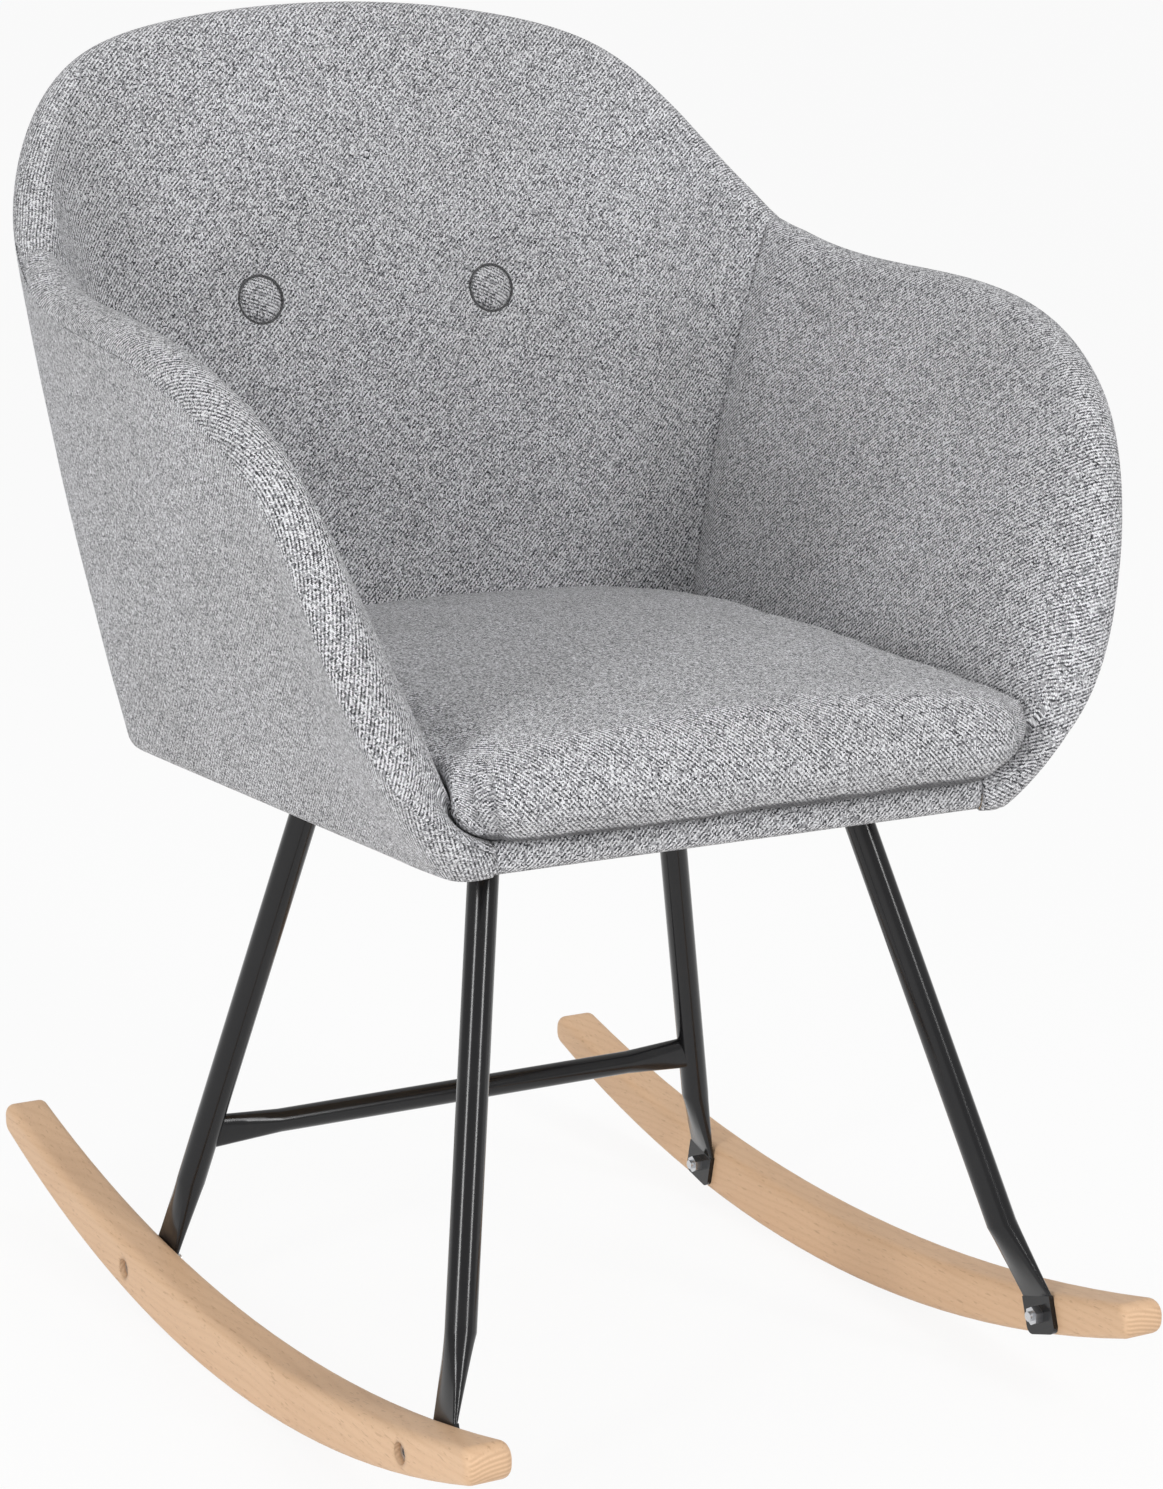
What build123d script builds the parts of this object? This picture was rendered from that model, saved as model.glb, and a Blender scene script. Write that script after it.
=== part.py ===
from build123d import *
from math import cos, radians, sin, sqrt
import os

# Upholstered bucket rocking chair, in millimetres.
# +Z is up, the front is -Y and +X is the viewer's right from the front. The pieces are
# drawn about the middle of the four legs and moved at the end, so that the origin is on
# the floor under the middle of the rockers.

# Rockers
ROCKER_SPAN = 456.0
ROCKER_THICKNESS = 28.0
ROCKER_DEPTH = 35.0
ROCKER_END_DEPTH = 21.0
ROCKER_RADIUS = 1060.0
ROCKER_FRONT_REACH = 287.0
ROCKER_REAR_REACH = 401.0
ROCKER_CONTACT_Y = 60.0
ROCKER_END_RADIUS = 9.0
ROCKER_EDGE_RADIUS = 5.0

# Legs: steel tube, pressed flat at the foot
LEG_DIAMETER = 18.0
LEG_WALL = 1.5
LEG_TOP_X = 120.0
LEG_TOP_FRONT_Y = -104.0
LEG_TOP_REAR_Y = 111.0
LEG_FOOT_FRONT_X = 194.0
LEG_FOOT_REAR_X = 199.0
TAB_WIDTH = 28.0
TAB_THICKNESS = 3.2
TAB_ABOVE_BOLT = 11.0
TAB_BELOW_BOLT = 12.0
TAB_CORNER = 5.0
PRESSED_LENGTH = 48.0
PRESSED_EDGE = 0.9

# Crossbar between the rear legs
BAR_DIAMETER = 15.0
BAR_WALL = 1.5
BAR_HEIGHT = 113.0
BAR_END_HEIGHT = 22.0
BAR_END_THICKNESS = 9.0
BAR_FLARE_LENGTH = 42.0
BAR_END_CORNER = 0.8

# Bolts through rockers and legs
BOLT_FRONT_Y = -206.0
BOLT_REAR_Y = 189.0
BOLT_DIAMETER = 6.0
BOLT_HOLE_CLEARANCE = 0.6
BOLT_HEAD_DIAMETER = 10.0
BOLT_HEAD_HEIGHT = 6.0
BOLT_SOCKET_ACROSS = 5.0
BOLT_SOCKET_DEPTH = 3.0
BOLT_SINK_DIAMETER = 13.0
BOLT_SINK_DEPTH = 9.0
BOLT_STICK_OUT = 2.5
NUT_ACROSS_FLATS = 10.0
NUT_HEIGHT = 5.2

# Plates on the tops of the legs, with their screws and tee nuts
FLANGE_LENGTH = 66.0
FLANGE_WIDTH = 44.0
FLANGE_THICKNESS = 4.0
FLANGE_CORNER = 8.0
FLANGE_SCREW_SPACING = 46.0
SCREW_HEAD_DIAMETER = 11.0
SCREW_HEAD_HEIGHT = 3.6
TEE_BARREL_DIAMETER = 8.0
TEE_BARREL_LENGTH = 11.0
TEE_DISC_DIAMETER = 18.0
TEE_DISC_THICKNESS = 1.5

# Bucket: plan of its lower edge
SHELL_Z = 358.0
TOE_X = 160.0
FRONT_Y = -184.0
FRONT_CORNER_X = 174.0
FRONT_CORNER_RADIUS = 13.0
REAR_CORNER_X = 198.0
REAR_CORNER_RADIUS = 42.0
REAR_Y = 241.0

# Bucket: its rim
TOE_RISE = 12.0
TOE_Y = -186.0
ARM_RISE = 273.0
ARM_HALF_WIDTH = 281.0
BACK_RISE = 436.0
BACK_HALF_WIDTH = 184.0
BACK_LEAN = 88.0

# Points of the rim on an arm: share of its half width, Y, and share of its rise
ARM_FOOT_Y = -198.0
ARM_FOOT = (0.76, ARM_FOOT_Y, 0.2)
ARM_KNEE_Y = -188.0
ARM_KNEE = (0.853, ARM_KNEE_Y, 0.393)
ARM_FRONT_Y = -147.0
ARM_FRONT = (0.946, ARM_FRONT_Y, 0.76)
ARM_BEND_Y = -62.0
ARM_BEND = (1.0, ARM_BEND_Y, 0.941)
ARM_TOP_Y = 60.0
ARM_TOP = (0.99, ARM_TOP_Y, 1.0)
ARM_END_Y = 210.0
ARM_END = (0.92, ARM_END_Y, 1.11)

# Points of the rim on the back: shares of its half width, lean and rise
BACK_SHOULDER = (1.0, 0.835, 0.929)
BACK_CROWN = (0.6, 0.951, 0.98)

# Bucket: layers of its wall
CORE_THICKNESS = 9.0
COVER_THICKNESS = 5.0
PAD_AT_RIM = 13.5
PAD_AT_SEAT = 10.0
PAD_CROWN = 13.0
WALL_BULGE = 4.0
SEAM_ANGLE = 15.0
SEAM_DRAW = 5.0
SEAM_GAP = 1.6
CLEARANCE = 0.4

# Bucket: stations from the toe of an arm to the middle of the back
STATIONS = (0.03, 0.06, 0.1, 0.15, 0.21, 0.26, 0.32, 0.4, 0.5, 0.6, 0.64, 0.775, 0.83, 0.91)
FAN = 1.25
SEAM_SHARE = 0.705
SEAM_FADE = 0.035
SEAM_LEAN = 0.08
SEAM_SPREAD = 0.28
TOE_SHARE = 0.16
PAD_FOOT_SHARE = 0.06
TOE_SCALE = 0.5
SHARE_STEP = 0.004

# Seat
BOARD_RISE = 8.0
BOARD_THICKNESS = 12.0
BOARD_FRONT_RADIUS = 40.0
BOARD_SIDE_GAP = 0.6
BAND_TO_TOE = 2.0
CUSHION_FRONT_Y = -224.0
CUSHION_FRONT_HALF_WIDTH = 186.0
CUSHION_HEIGHT = 62.0
CUSHION_CROWN_RADIUS = 2200.0
CUSHION_CROWN_DROP = 1.5
CUSHION_FRONT_RADIUS = 30.0
CUSHION_WAIST_RADIUS = 90.0
CUSHION_REAR_RADIUS = 52.0
CUSHION_SIDE_GAP = 3.2
CUSHION_WAIST_SHARE = 0.2
CUSHION_FLANK_SHARE = 0.6
CUSHION_FULL_SHARE = 0.45
CUSHION_FOOT_FRONT_INSET = 15.0
CUSHION_FOOT_SIDE_INSET = 10.0
CUSHION_TOP_FRONT_INSET = 38.0
CUSHION_TOP_SIDE_INSET = 15.0
BAND_EDGE_RADIUS = 6.0
BAND_END_GAP = 1.2

# Screws through the wall into the edge of the board
SHELL_SCREW_SHARES = (0.24, 0.48, 0.66, 0.9)
SHELL_SCREW_DIAMETER = 4.0
SHELL_SCREW_LENGTH = 30.0
SHELL_SCREW_HEAD = 7.0
SHELL_SCREW_HEAD_HEIGHT = 3.0
SHELL_SCREW_SINK = 1.6

# Buttons in the back
BUTTON_SHARE = 0.915
BUTTON_RISE = 268.0
BUTTON_DIAMETER = 30.0
BUTTON_THICKNESS = 6.0
BUTTON_SINK = 6.0
BUTTON_SHANK = 3.0
BUTTON_HOLE_CLEARANCE = 1.0
TUFT_RADIUS = 45.0
CLIP_DIAMETER = 14.0
CLIP_THICKNESS = 2.0

# Worked out from the sizes above
ROCKER_INNER_X = ROCKER_SPAN / 2 - ROCKER_THICKNESS
BOARD_Z = SHELL_Z + BOARD_RISE
BOARD_TOP_Z = BOARD_Z + BOARD_THICKNESS
FLANGE_Z = BOARD_Z - FLANGE_THICKNESS
CORE_SIDE = CORE_THICKNESS / 2
LAYER_SIDE = CORE_SIDE + CLEARANCE
OUTSIDE = LAYER_SIDE + COVER_THICKNESS
INSIDE_AT_RIM = LAYER_SIDE + PAD_AT_RIM
INSIDE_AT_SEAT = LAYER_SIDE + PAD_AT_SEAT
BOLT_HOLE = BOLT_DIAMETER + BOLT_HOLE_CLEARANCE
FRAME_SHIFT = (ROCKER_FRONT_REACH - ROCKER_REAR_REACH) / 2

parts = {}


def sag(radius, reach):
    """Rise of an arc of this radius at a distance from its lowest point."""
    return radius - sqrt(radius**2 - reach**2)


rocker_end = max(ROCKER_FRONT_REACH + ROCKER_CONTACT_Y, ROCKER_REAR_REACH - ROCKER_CONTACT_Y)
top_rise = sag(ROCKER_RADIUS, rocker_end) + ROCKER_END_DEPTH - ROCKER_DEPTH
ROCKER_TOP_RADIUS = (rocker_end**2 + top_rise**2) / (2 * top_rise)


def rocker_bottom(y):
    return sag(ROCKER_RADIUS, y - ROCKER_CONTACT_Y)


def rocker_top(y):
    return ROCKER_DEPTH + sag(ROCKER_TOP_RADIUS, y - ROCKER_CONTACT_Y)


def rocker_middle(y):
    return (rocker_bottom(y) + rocker_top(y)) / 2


def along_x(diameter, start, end, y, z):
    """Round bar parallel to X."""
    bar = Cylinder(diameter / 2, end - start, align=(Align.CENTER, Align.CENTER, Align.MIN))
    return Pos(start, y, z) * Rot(0, 90, 0) * bar


def upright(diameter, x, y, bottom, top):
    """Round bar parallel to Z."""
    bar = Cylinder(diameter / 2, top - bottom, align=(Align.CENTER, Align.CENTER, Align.MIN))
    return Pos(x, y, bottom) * bar


def mirrored(shape):
    return mirror(shape, about=Plane.YZ)


# Rockers
BOLT_YS = (BOLT_FRONT_Y, BOLT_REAR_Y)


def make_rocker():
    front = -ROCKER_FRONT_REACH
    rear = ROCKER_REAR_REACH
    low = ThreePointArc(
        (front, rocker_bottom(front)), (ROCKER_CONTACT_Y, 0), (rear, rocker_bottom(rear))
    )
    high = ThreePointArc(
        (rear, rocker_top(rear)), (ROCKER_CONTACT_Y, ROCKER_DEPTH), (front, rocker_top(front))
    )
    outline = make_face([low, Line(low @ 1, high @ 0), high, Line(high @ 1, low @ 0)])
    outline = fillet(outline.vertices(), ROCKER_END_RADIUS)
    blank = extrude(Plane.YZ * outline, ROCKER_THICKNESS)
    rims = blank.faces().sort_by(Axis.X)[0].edges() + blank.faces().sort_by(Axis.X)[-1].edges()
    blank = Pos(ROCKER_INNER_X, 0, 0) * fillet(rims, ROCKER_EDGE_RADIUS)
    outer = ROCKER_SPAN / 2
    for y in BOLT_YS:
        z = rocker_middle(y)
        blank -= along_x(BOLT_HOLE, ROCKER_INNER_X, outer, y, z)
        blank -= along_x(BOLT_SINK_DIAMETER, outer - BOLT_SINK_DEPTH, outer, y, z)
    return blank


# Legs
def oval(place, half_width, half_depth, corner_width, corner_depth):
    """Section of four arcs: a circle, or a tube pressed flat."""
    arcs = [
        ThreePointArc((corner_width, -corner_depth), (half_width, 0), (corner_width, corner_depth)),
        ThreePointArc((corner_width, corner_depth), (0, half_depth), (-corner_width, corner_depth)),
        ThreePointArc((-corner_width, corner_depth), (-half_width, 0), (-corner_width, -corner_depth)),
        ThreePointArc((-corner_width, -corner_depth), (0, -half_depth), (corner_width, -corner_depth)),
    ]
    return place * make_face(arcs)


def round_section(place, diameter):
    corner = diameter / 2 * cos(radians(45))
    return oval(place, diameter / 2, diameter / 2, corner, corner)


def flat_section(place, width, thickness):
    edge = thickness / 2 * PRESSED_EDGE
    return oval(place, width / 2, thickness / 2, width / 2 - edge, edge)


LEG_ENDS = {
    "front": (LEG_FOOT_FRONT_X, BOLT_FRONT_Y, LEG_TOP_FRONT_Y),
    "rear": (LEG_FOOT_REAR_X, BOLT_REAR_Y, LEG_TOP_REAR_Y),
}


def leg_axis(end):
    """Foot of the leg's axis at the height of its bolt, and its top under the plate."""
    foot_x, bolt_y, top_y = LEG_ENDS[end]
    return Vector(foot_x, bolt_y, rocker_middle(bolt_y)), Vector(LEG_TOP_X, top_y, FLANGE_Z)


def make_leg(end):
    foot, top = leg_axis(end)
    run = (top - foot).normalized()
    lean = Vector(0, run.Y, run.Z).normalized()
    tab_middle = Vector(ROCKER_INNER_X - TAB_THICKNESS / 2, foot.Y, foot.Z)
    tab_top = tab_middle + lean * TAB_ABOVE_BOLT
    across = Vector(0, lean.Z, -lean.Y)
    pressed = Plane(tab_top, x_dir=across, z_dir=lean)
    start = foot + run * (TAB_ABOVE_BOLT + PRESSED_LENGTH)
    tube_plane = Plane(start, x_dir=across - run * across.dot(run), z_dir=run)
    reach = (top - start).length + LEG_DIAMETER
    foot_end = loft([
        round_section(tube_plane, LEG_DIAMETER),
        flat_section(pressed, TAB_WIDTH, TAB_THICKNESS),
    ])
    tube = extrude(tube_plane * Circle(LEG_DIAMETER / 2), reach)
    bore = extrude(tube_plane * Circle(LEG_DIAMETER / 2 - LEG_WALL), reach)
    length = TAB_ABOVE_BOLT + TAB_BELOW_BOLT
    plate = Plane(tab_middle, x_dir=across, z_dir=(1, 0, 0))
    drop = (TAB_ABOVE_BOLT - TAB_BELOW_BOLT) / 2
    blank = Pos(0, drop) * Rectangle(TAB_WIDTH, length)
    blank = fillet(blank.vertices().group_by(Axis.Y)[0], TAB_CORNER)
    blank -= Circle(BOLT_HOLE / 2)
    tab = extrude(plate * blank, TAB_THICKNESS / 2, both=True)
    above = Pos(0, 0, FLANGE_Z) * Box(
        2 * ROCKER_SPAN, 4 * ROCKER_REAR_REACH, 2 * LEG_DIAMETER + reach,
        align=(Align.CENTER, Align.CENTER, Align.MIN),
    )
    return foot_end + tab + (tube - bore) - above


def make_flange(top_y):
    """Plate on top of a leg, with a hole on each side of the tube."""
    plate = RectangleRounded(FLANGE_LENGTH, FLANGE_WIDTH, FLANGE_CORNER)
    for place in GridLocations(FLANGE_SCREW_SPACING, 0, 2, 1):
        plate -= place * Circle(BOLT_HOLE / 2)
    return extrude(Pos(LEG_TOP_X, top_y, FLANGE_Z) * plate, FLANGE_THICKNESS)


def flange_screw_places():
    for side in (-1, 1):
        for top_y in (LEG_TOP_FRONT_Y, LEG_TOP_REAR_Y):
            for step in (-1, 1):
                yield side * (LEG_TOP_X + step * FLANGE_SCREW_SPACING / 2), top_y


def make_flange_screw(x, y):
    head = upright(SCREW_HEAD_DIAMETER, x, y, FLANGE_Z - SCREW_HEAD_HEIGHT, FLANGE_Z)
    return head + upright(BOLT_DIAMETER, x, y, FLANGE_Z, BOARD_TOP_Z - TEE_DISC_THICKNESS)


def make_tee_nut(x, y):
    disc = upright(TEE_DISC_DIAMETER, x, y, BOARD_TOP_Z - TEE_DISC_THICKNESS, BOARD_TOP_Z)
    barrel = upright(TEE_BARREL_DIAMETER, x, y, BOARD_TOP_Z - TEE_BARREL_LENGTH, BOARD_TOP_Z)
    return disc + barrel - upright(BOLT_DIAMETER, x, y, BOARD_Z, BOARD_TOP_Z - TEE_DISC_THICKNESS)


def make_crossbar():
    """Thin tube with its ends pressed tall and cut to the round of the rear legs."""
    foot, top = leg_axis("rear")
    share = (BAR_HEIGHT - foot.Z) / (top.Z - foot.Z)
    meet = foot + (top - foot) * share
    straight = meet.X - LEG_DIAMETER / 2 - BAR_FLARE_LENGTH
    middle = along_x(BAR_DIAMETER, -straight, straight, meet.Y, BAR_HEIGHT)
    middle -= along_x(BAR_DIAMETER - 2 * BAR_WALL, -straight, straight, meet.Y, BAR_HEIGHT)
    inner = Plane((straight, meet.Y, BAR_HEIGHT), x_dir=(0, 0, 1), z_dir=(1, 0, 0))
    outer = Plane((meet.X, meet.Y, BAR_HEIGHT), x_dir=(0, 0, 1), z_dir=(1, 0, 0))
    half_height = BAR_END_HEIGHT / 2
    half_thick = BAR_END_THICKNESS / 2
    end = loft([
        round_section(inner, BAR_DIAMETER),
        oval(outer, half_height, half_thick, half_height * BAR_END_CORNER, half_thick * BAR_END_CORNER),
    ])
    tube_plane = Plane(foot, z_dir=top - foot)
    end -= extrude(tube_plane * Circle(LEG_DIAMETER / 2), (top - foot).length)
    end = end.solids().sort_by(Axis.X)[0]
    return middle + end + mirrored(end)


# Bolts and nuts of the rockers
def make_rocker_bolt(y):
    z = rocker_middle(y)
    seat = ROCKER_SPAN / 2 - BOLT_SINK_DEPTH
    tip = ROCKER_INNER_X - TAB_THICKNESS - NUT_HEIGHT - BOLT_STICK_OUT
    face = seat + BOLT_HEAD_HEIGHT
    head = along_x(BOLT_HEAD_DIAMETER, seat, face, y, z)
    socket = Plane((face, y, z), z_dir=(-1, 0, 0)) * RegularPolygon(
        BOLT_SOCKET_ACROSS / 2, 6, major_radius=False
    )
    head -= extrude(socket, BOLT_SOCKET_DEPTH)
    return head + along_x(BOLT_DIAMETER, tip, seat, y, z)


def make_rocker_nut(y):
    z = rocker_middle(y)
    face = ROCKER_INNER_X - TAB_THICKNESS
    outline = RegularPolygon(NUT_ACROSS_FLATS / 2, 6, major_radius=False) - Circle(BOLT_DIAMETER / 2)
    return extrude(Plane((face, y, z), z_dir=(-1, 0, 0)) * outline, NUT_HEIGHT)


# Bucket: a wall that stands between its lower edge and its rim
base_path = FilletPolyline(
    (TOE_X, FRONT_Y),
    (FRONT_CORNER_X, FRONT_Y),
    (REAR_CORNER_X, REAR_Y),
    (0, REAR_Y),
    radius=(FRONT_CORNER_RADIUS, REAR_CORNER_RADIUS),
)
half_rim = [(TOE_X, TOE_Y, SHELL_Z + TOE_RISE)]
for width, y, rise in (ARM_FOOT, ARM_KNEE, ARM_FRONT, ARM_BEND, ARM_TOP, ARM_END):
    half_rim.append((width * ARM_HALF_WIDTH, y, SHELL_Z + rise * ARM_RISE))
for width, lean, rise in (BACK_SHOULDER, BACK_CROWN):
    half_rim.append((width * BACK_HALF_WIDTH, REAR_Y + lean * BACK_LEAN, SHELL_Z + rise * BACK_RISE))
rim_top = (0, REAR_Y + BACK_LEAN, SHELL_Z + BACK_RISE)
rim_path = Spline(*half_rim, rim_top, *[(-x, y, z) for x, y, z in reversed(half_rim)])


def ease(value):
    """Smooth step from 0 to 1."""
    value = min(max(value, 0), 1)
    return value * value * (3 - 2 * value)


def wall_ends(share):
    """Lower edge and rim at a share of the way from one toe (0) over the back (1) to the other (2)."""
    near = min(share, 2 - share)
    base = base_path.position_at(near**FAN * base_path.length, PositionMode.LENGTH)
    lean = SEAM_LEAN * (1 - ease(abs(near - SEAM_SHARE) / SEAM_SPREAD))
    rim = rim_path.position_at((near - lean) / 2 * rim_path.length, PositionMode.LENGTH)
    side = 1 if share <= 1 else -1
    return Vector(side * base.X, base.Y, SHELL_Z), Vector(side * rim.X, rim.Y, rim.Z)


def wall_plane(share):
    """Section plane of the wall, with X inward and Y from the lower edge to the rim."""
    base, rim = wall_ends(share)
    behind = wall_ends(max(share - SHARE_STEP, 0))
    ahead = wall_ends(min(share + SHARE_STEP, 2))
    along = (ahead[0] + ahead[1] - behind[0] - behind[1]).normalized()
    up = (rim - base).normalized()
    inward = up.cross(along).normalized()
    return Plane(base, x_dir=inward, z_dir=inward.cross(up)), (rim - base).length


def toe_scale(share):
    near = min(share, 2 - share)
    return TOE_SCALE + (1 - TOE_SCALE) * ease(near / TOE_SHARE)


def bulge(rise, height):
    """How far the wall stands outside its chord."""
    part = rise / height
    return -4 * WALL_BULGE * part * (1 - part)


def layer_arc(offset, start, end, height, scale):
    """Arc of one layer, at an offset from the middle of the wall, from one rise to another."""
    points = [(offset + bulge(t, height) * scale, t) for t in (start, (start + end) / 2, end)]
    return ThreePointArc(*points)


def roll_point(angle, height, scale):
    """Point on the outer half of the roll over the rim, at an angle above its middle."""
    roll = (INSIDE_AT_RIM + OUTSIDE) / 2 * scale
    centre = (INSIDE_AT_RIM - OUTSIDE) / 2 * scale
    return centre - roll * cos(radians(angle)), height + roll * sin(radians(angle))


def core_section(share):
    place, height = wall_plane(share)
    scale = toe_scale(share)
    inside = layer_arc(CORE_SIDE * scale, 0, height, height, scale)
    outside = layer_arc(-CORE_SIDE * scale, height, 0, height, scale)
    return place * make_face([inside, Line(inside @ 1, outside @ 0), outside, Line(outside @ 1, inside @ 0)])


def cover_section(share):
    """Section of the outer cover, from the lower edge round the roll to the seam."""
    place, height = wall_plane(share)
    scale = toe_scale(share)
    top = Vector(0, -SEAM_GAP) + roll_point(SEAM_ANGLE, height, scale)
    bend = Vector(0, -SEAM_GAP) + roll_point(SEAM_ANGLE / 2, height, scale)
    inside = layer_arc(-CORE_SIDE * scale - CLEARANCE, 0, top.Y, height, scale)
    outside = layer_arc(-OUTSIDE * scale, height - SEAM_GAP, 0, height, scale)
    roll = ThreePointArc(top, bend, outside @ 0)
    return place * make_face([
        inside, Line(inside @ 1, top), roll, outside, Line(outside @ 1, inside @ 0)
    ])


def pad_foot(share, lift):
    """Rise at which a pad starts, on top of the board behind the toes."""
    near = min(share, 2 - share)
    return CLEARANCE + (BOARD_RISE + BOARD_THICKNESS) / lift * ease(near / PAD_FOOT_SHARE)


def seam_draw(share):
    """How far the pads are drawn in at the seams between arms and back."""
    near = min(share, 2 - share)
    away = abs(near - SEAM_SHARE) / SEAM_FADE
    return SEAM_DRAW * (1 - ease(away))


def pad_section(share):
    """Section of a pad: its inside, the roll over the rim, the seam outside and the slot for the core."""
    place, height = wall_plane(share)
    scale = toe_scale(share)
    foot = pad_foot(share, place.y_dir.Z)
    draw = seam_draw(share)
    low = (INSIDE_AT_SEAT - draw) * scale
    high = (INSIDE_AT_RIM - draw) * scale
    slot = CORE_SIDE * scale + CLEARANCE
    roll = (INSIDE_AT_RIM + OUTSIDE) / 2 * scale
    centre = (INSIDE_AT_RIM - OUTSIDE) / 2 * scale
    diagonal = sin(radians(45))
    middle = (low + high) / 2 + (PAD_CROWN - WALL_BULGE) * scale
    crest = (centre, height + roll)
    seam = Vector(roll_point(SEAM_ANGLE, height, scale))
    core_top = height + CLEARANCE
    inside = ThreePointArc((low, foot), (middle, (foot + height) / 2), (high, height))
    shoulder = (centre + (high - centre) * diagonal, height + roll * diagonal)
    roll_in = ThreePointArc((high, height), shoulder, crest)
    roll_out = ThreePointArc(crest, roll_point((SEAM_ANGLE + 90) / 2, height, scale), seam)
    back = layer_arc(slot, core_top, foot, height, scale)
    corners = [seam, (-slot, seam.Y), (-slot, core_top), back @ 0]
    steps = [Line(a, b) for a, b in zip(corners, corners[1:])]
    return place * make_face([inside, roll_in, roll_out, *steps, back, Line(back @ 1, inside @ 0)])


def pad_face(share, z):
    """Point on the inside of a pad at a height."""
    place, height = wall_plane(share)
    scale = toe_scale(share)
    foot = pad_foot(share, place.y_dir.Z)
    rise = foot
    depth = INSIDE_AT_SEAT * scale
    for _ in range(6):
        rise = (z - SHELL_Z - depth * place.x_dir.Z) / place.y_dir.Z
        part = (rise - foot) / (height - foot)
        depth = INSIDE_AT_SEAT + (INSIDE_AT_RIM - INSIDE_AT_SEAT) * part
        depth = (depth + 4 * (PAD_CROWN - WALL_BULGE) * part * (1 - part)) * scale
    return place.from_local_coords((depth, rise))


def station_shares(start, end):
    """Shares of the stations between two ends, with both ends."""
    whole = [*STATIONS, 1, *[2 - s for s in reversed(STATIONS)]]
    return [start] + [s for s in whole if start + SEAM_FADE / 2 < s < end - SEAM_FADE / 2] + [end]


def arm_shares(gap):
    return station_shares(0, SEAM_SHARE - SEAM_FADE) + [SEAM_SHARE - gap]


def back_shares(gap):
    start = SEAM_SHARE + SEAM_FADE
    return [SEAM_SHARE + gap] + station_shares(start, 2 - start) + [2 - SEAM_SHARE - gap]


def layer(section):
    """Layer of the wall without a seam: two arms and the back between them."""
    arm = loft([section(s) for s in arm_shares(0)])
    return arm + loft([section(s) for s in back_shares(0)]) + mirrored(arm)


seam_gap = CLEARANCE / rim_path.length
core = layer(core_section)
cover = layer(cover_section)
arm_pad = loft([pad_section(s) for s in arm_shares(seam_gap)])
back_pad = loft([pad_section(s) for s in back_shares(seam_gap)])


# Seat board, inside the wall
def board_outline():
    inset = LAYER_SIDE + BOARD_SIDE_GAP
    front = FRONT_Y + INSIDE_AT_SEAT * TOE_SCALE + BAND_TO_TOE
    slope = (REAR_CORNER_X - FRONT_CORNER_X) / (REAR_Y - FRONT_Y)
    front_x = FRONT_CORNER_X + slope * (front - FRONT_Y) - inset
    rear_x = REAR_CORNER_X - slope * inset - inset
    rear = REAR_Y - inset
    corners = [(front_x, front), (rear_x, rear), (-rear_x, rear), (-front_x, front)]
    radii = (BOARD_FRONT_RADIUS, REAR_CORNER_RADIUS - inset, REAR_CORNER_RADIUS - inset, BOARD_FRONT_RADIUS)
    return make_face(FilletPolyline(*corners, radius=radii, close=True)), front


outline, board_front = board_outline()
board = extrude(Pos(0, 0, BOARD_Z) * outline, BOARD_THICKNESS)
for x, y in flange_screw_places():
    board -= upright(TEE_BARREL_DIAMETER, x, y, BOARD_Z, BOARD_TOP_Z)
    board -= upright(TEE_DISC_DIAMETER, x, y, BOARD_TOP_Z - TEE_DISC_THICKNESS, BOARD_TOP_Z)

# Rail under the front of the cushion
band_front = FRONT_Y - OUTSIDE * TOE_SCALE
band_back = board_front - CLEARANCE
band_profile = Pos((band_front + band_back) / 2, (SHELL_Z + BOARD_TOP_Z) / 2) * Rectangle(
    band_back - band_front, BOARD_TOP_Z - SHELL_Z
)
band_profile = fillet(band_profile.vertices().group_by(Axis.X)[0], BAND_EDGE_RADIUS)
band = extrude(Plane.YZ * band_profile, TOE_X - BAND_END_GAP, both=True)


# Seat cushion, fitted between the pads
cushion_foot = BOARD_TOP_Z + CLEARANCE


def cushion_outline(share, front_inset, side_inset):
    """Outline at a share of the height, wide at the front and drawn in where the arm pads are thickest."""
    z = cushion_foot + CUSHION_HEIGHT * share
    gap = CUSHION_SIDE_GAP + side_inset
    waist = pad_face(CUSHION_WAIST_SHARE, z)
    flank = pad_face(CUSHION_FLANK_SHARE, z)
    rear = pad_face(1, z).Y - gap
    slope = (flank.X - waist.X) / (flank.Y - waist.Y)
    side = [
        (CUSHION_FRONT_HALF_WIDTH - side_inset, CUSHION_FRONT_Y + front_inset),
        (waist.X + slope * front_inset - gap, waist.Y + front_inset),
        (waist.X + slope * (rear - waist.Y) - gap, rear),
    ]
    corners = side + [(-x, y) for x, y in reversed(side)]
    half_radii = (CUSHION_FRONT_RADIUS, CUSHION_WAIST_RADIUS, CUSHION_REAR_RADIUS)
    radii = half_radii + half_radii[::-1]
    return Pos(0, 0, z) * make_face(FilletPolyline(*corners, radius=radii, close=True))


cushion_levels = (
    (0, CUSHION_FOOT_FRONT_INSET, CUSHION_FOOT_SIDE_INSET),
    (CUSHION_FULL_SHARE, 0, 0),
    (1, CUSHION_TOP_FRONT_INSET, CUSHION_TOP_SIDE_INSET),
)
cushion = loft([cushion_outline(*level) for level in cushion_levels])
crown_top = cushion_foot + CUSHION_HEIGHT - CUSHION_CROWN_DROP
cushion &= Pos(0, 0, crown_top - CUSHION_CROWN_RADIUS) * Sphere(CUSHION_CROWN_RADIUS)


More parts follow.
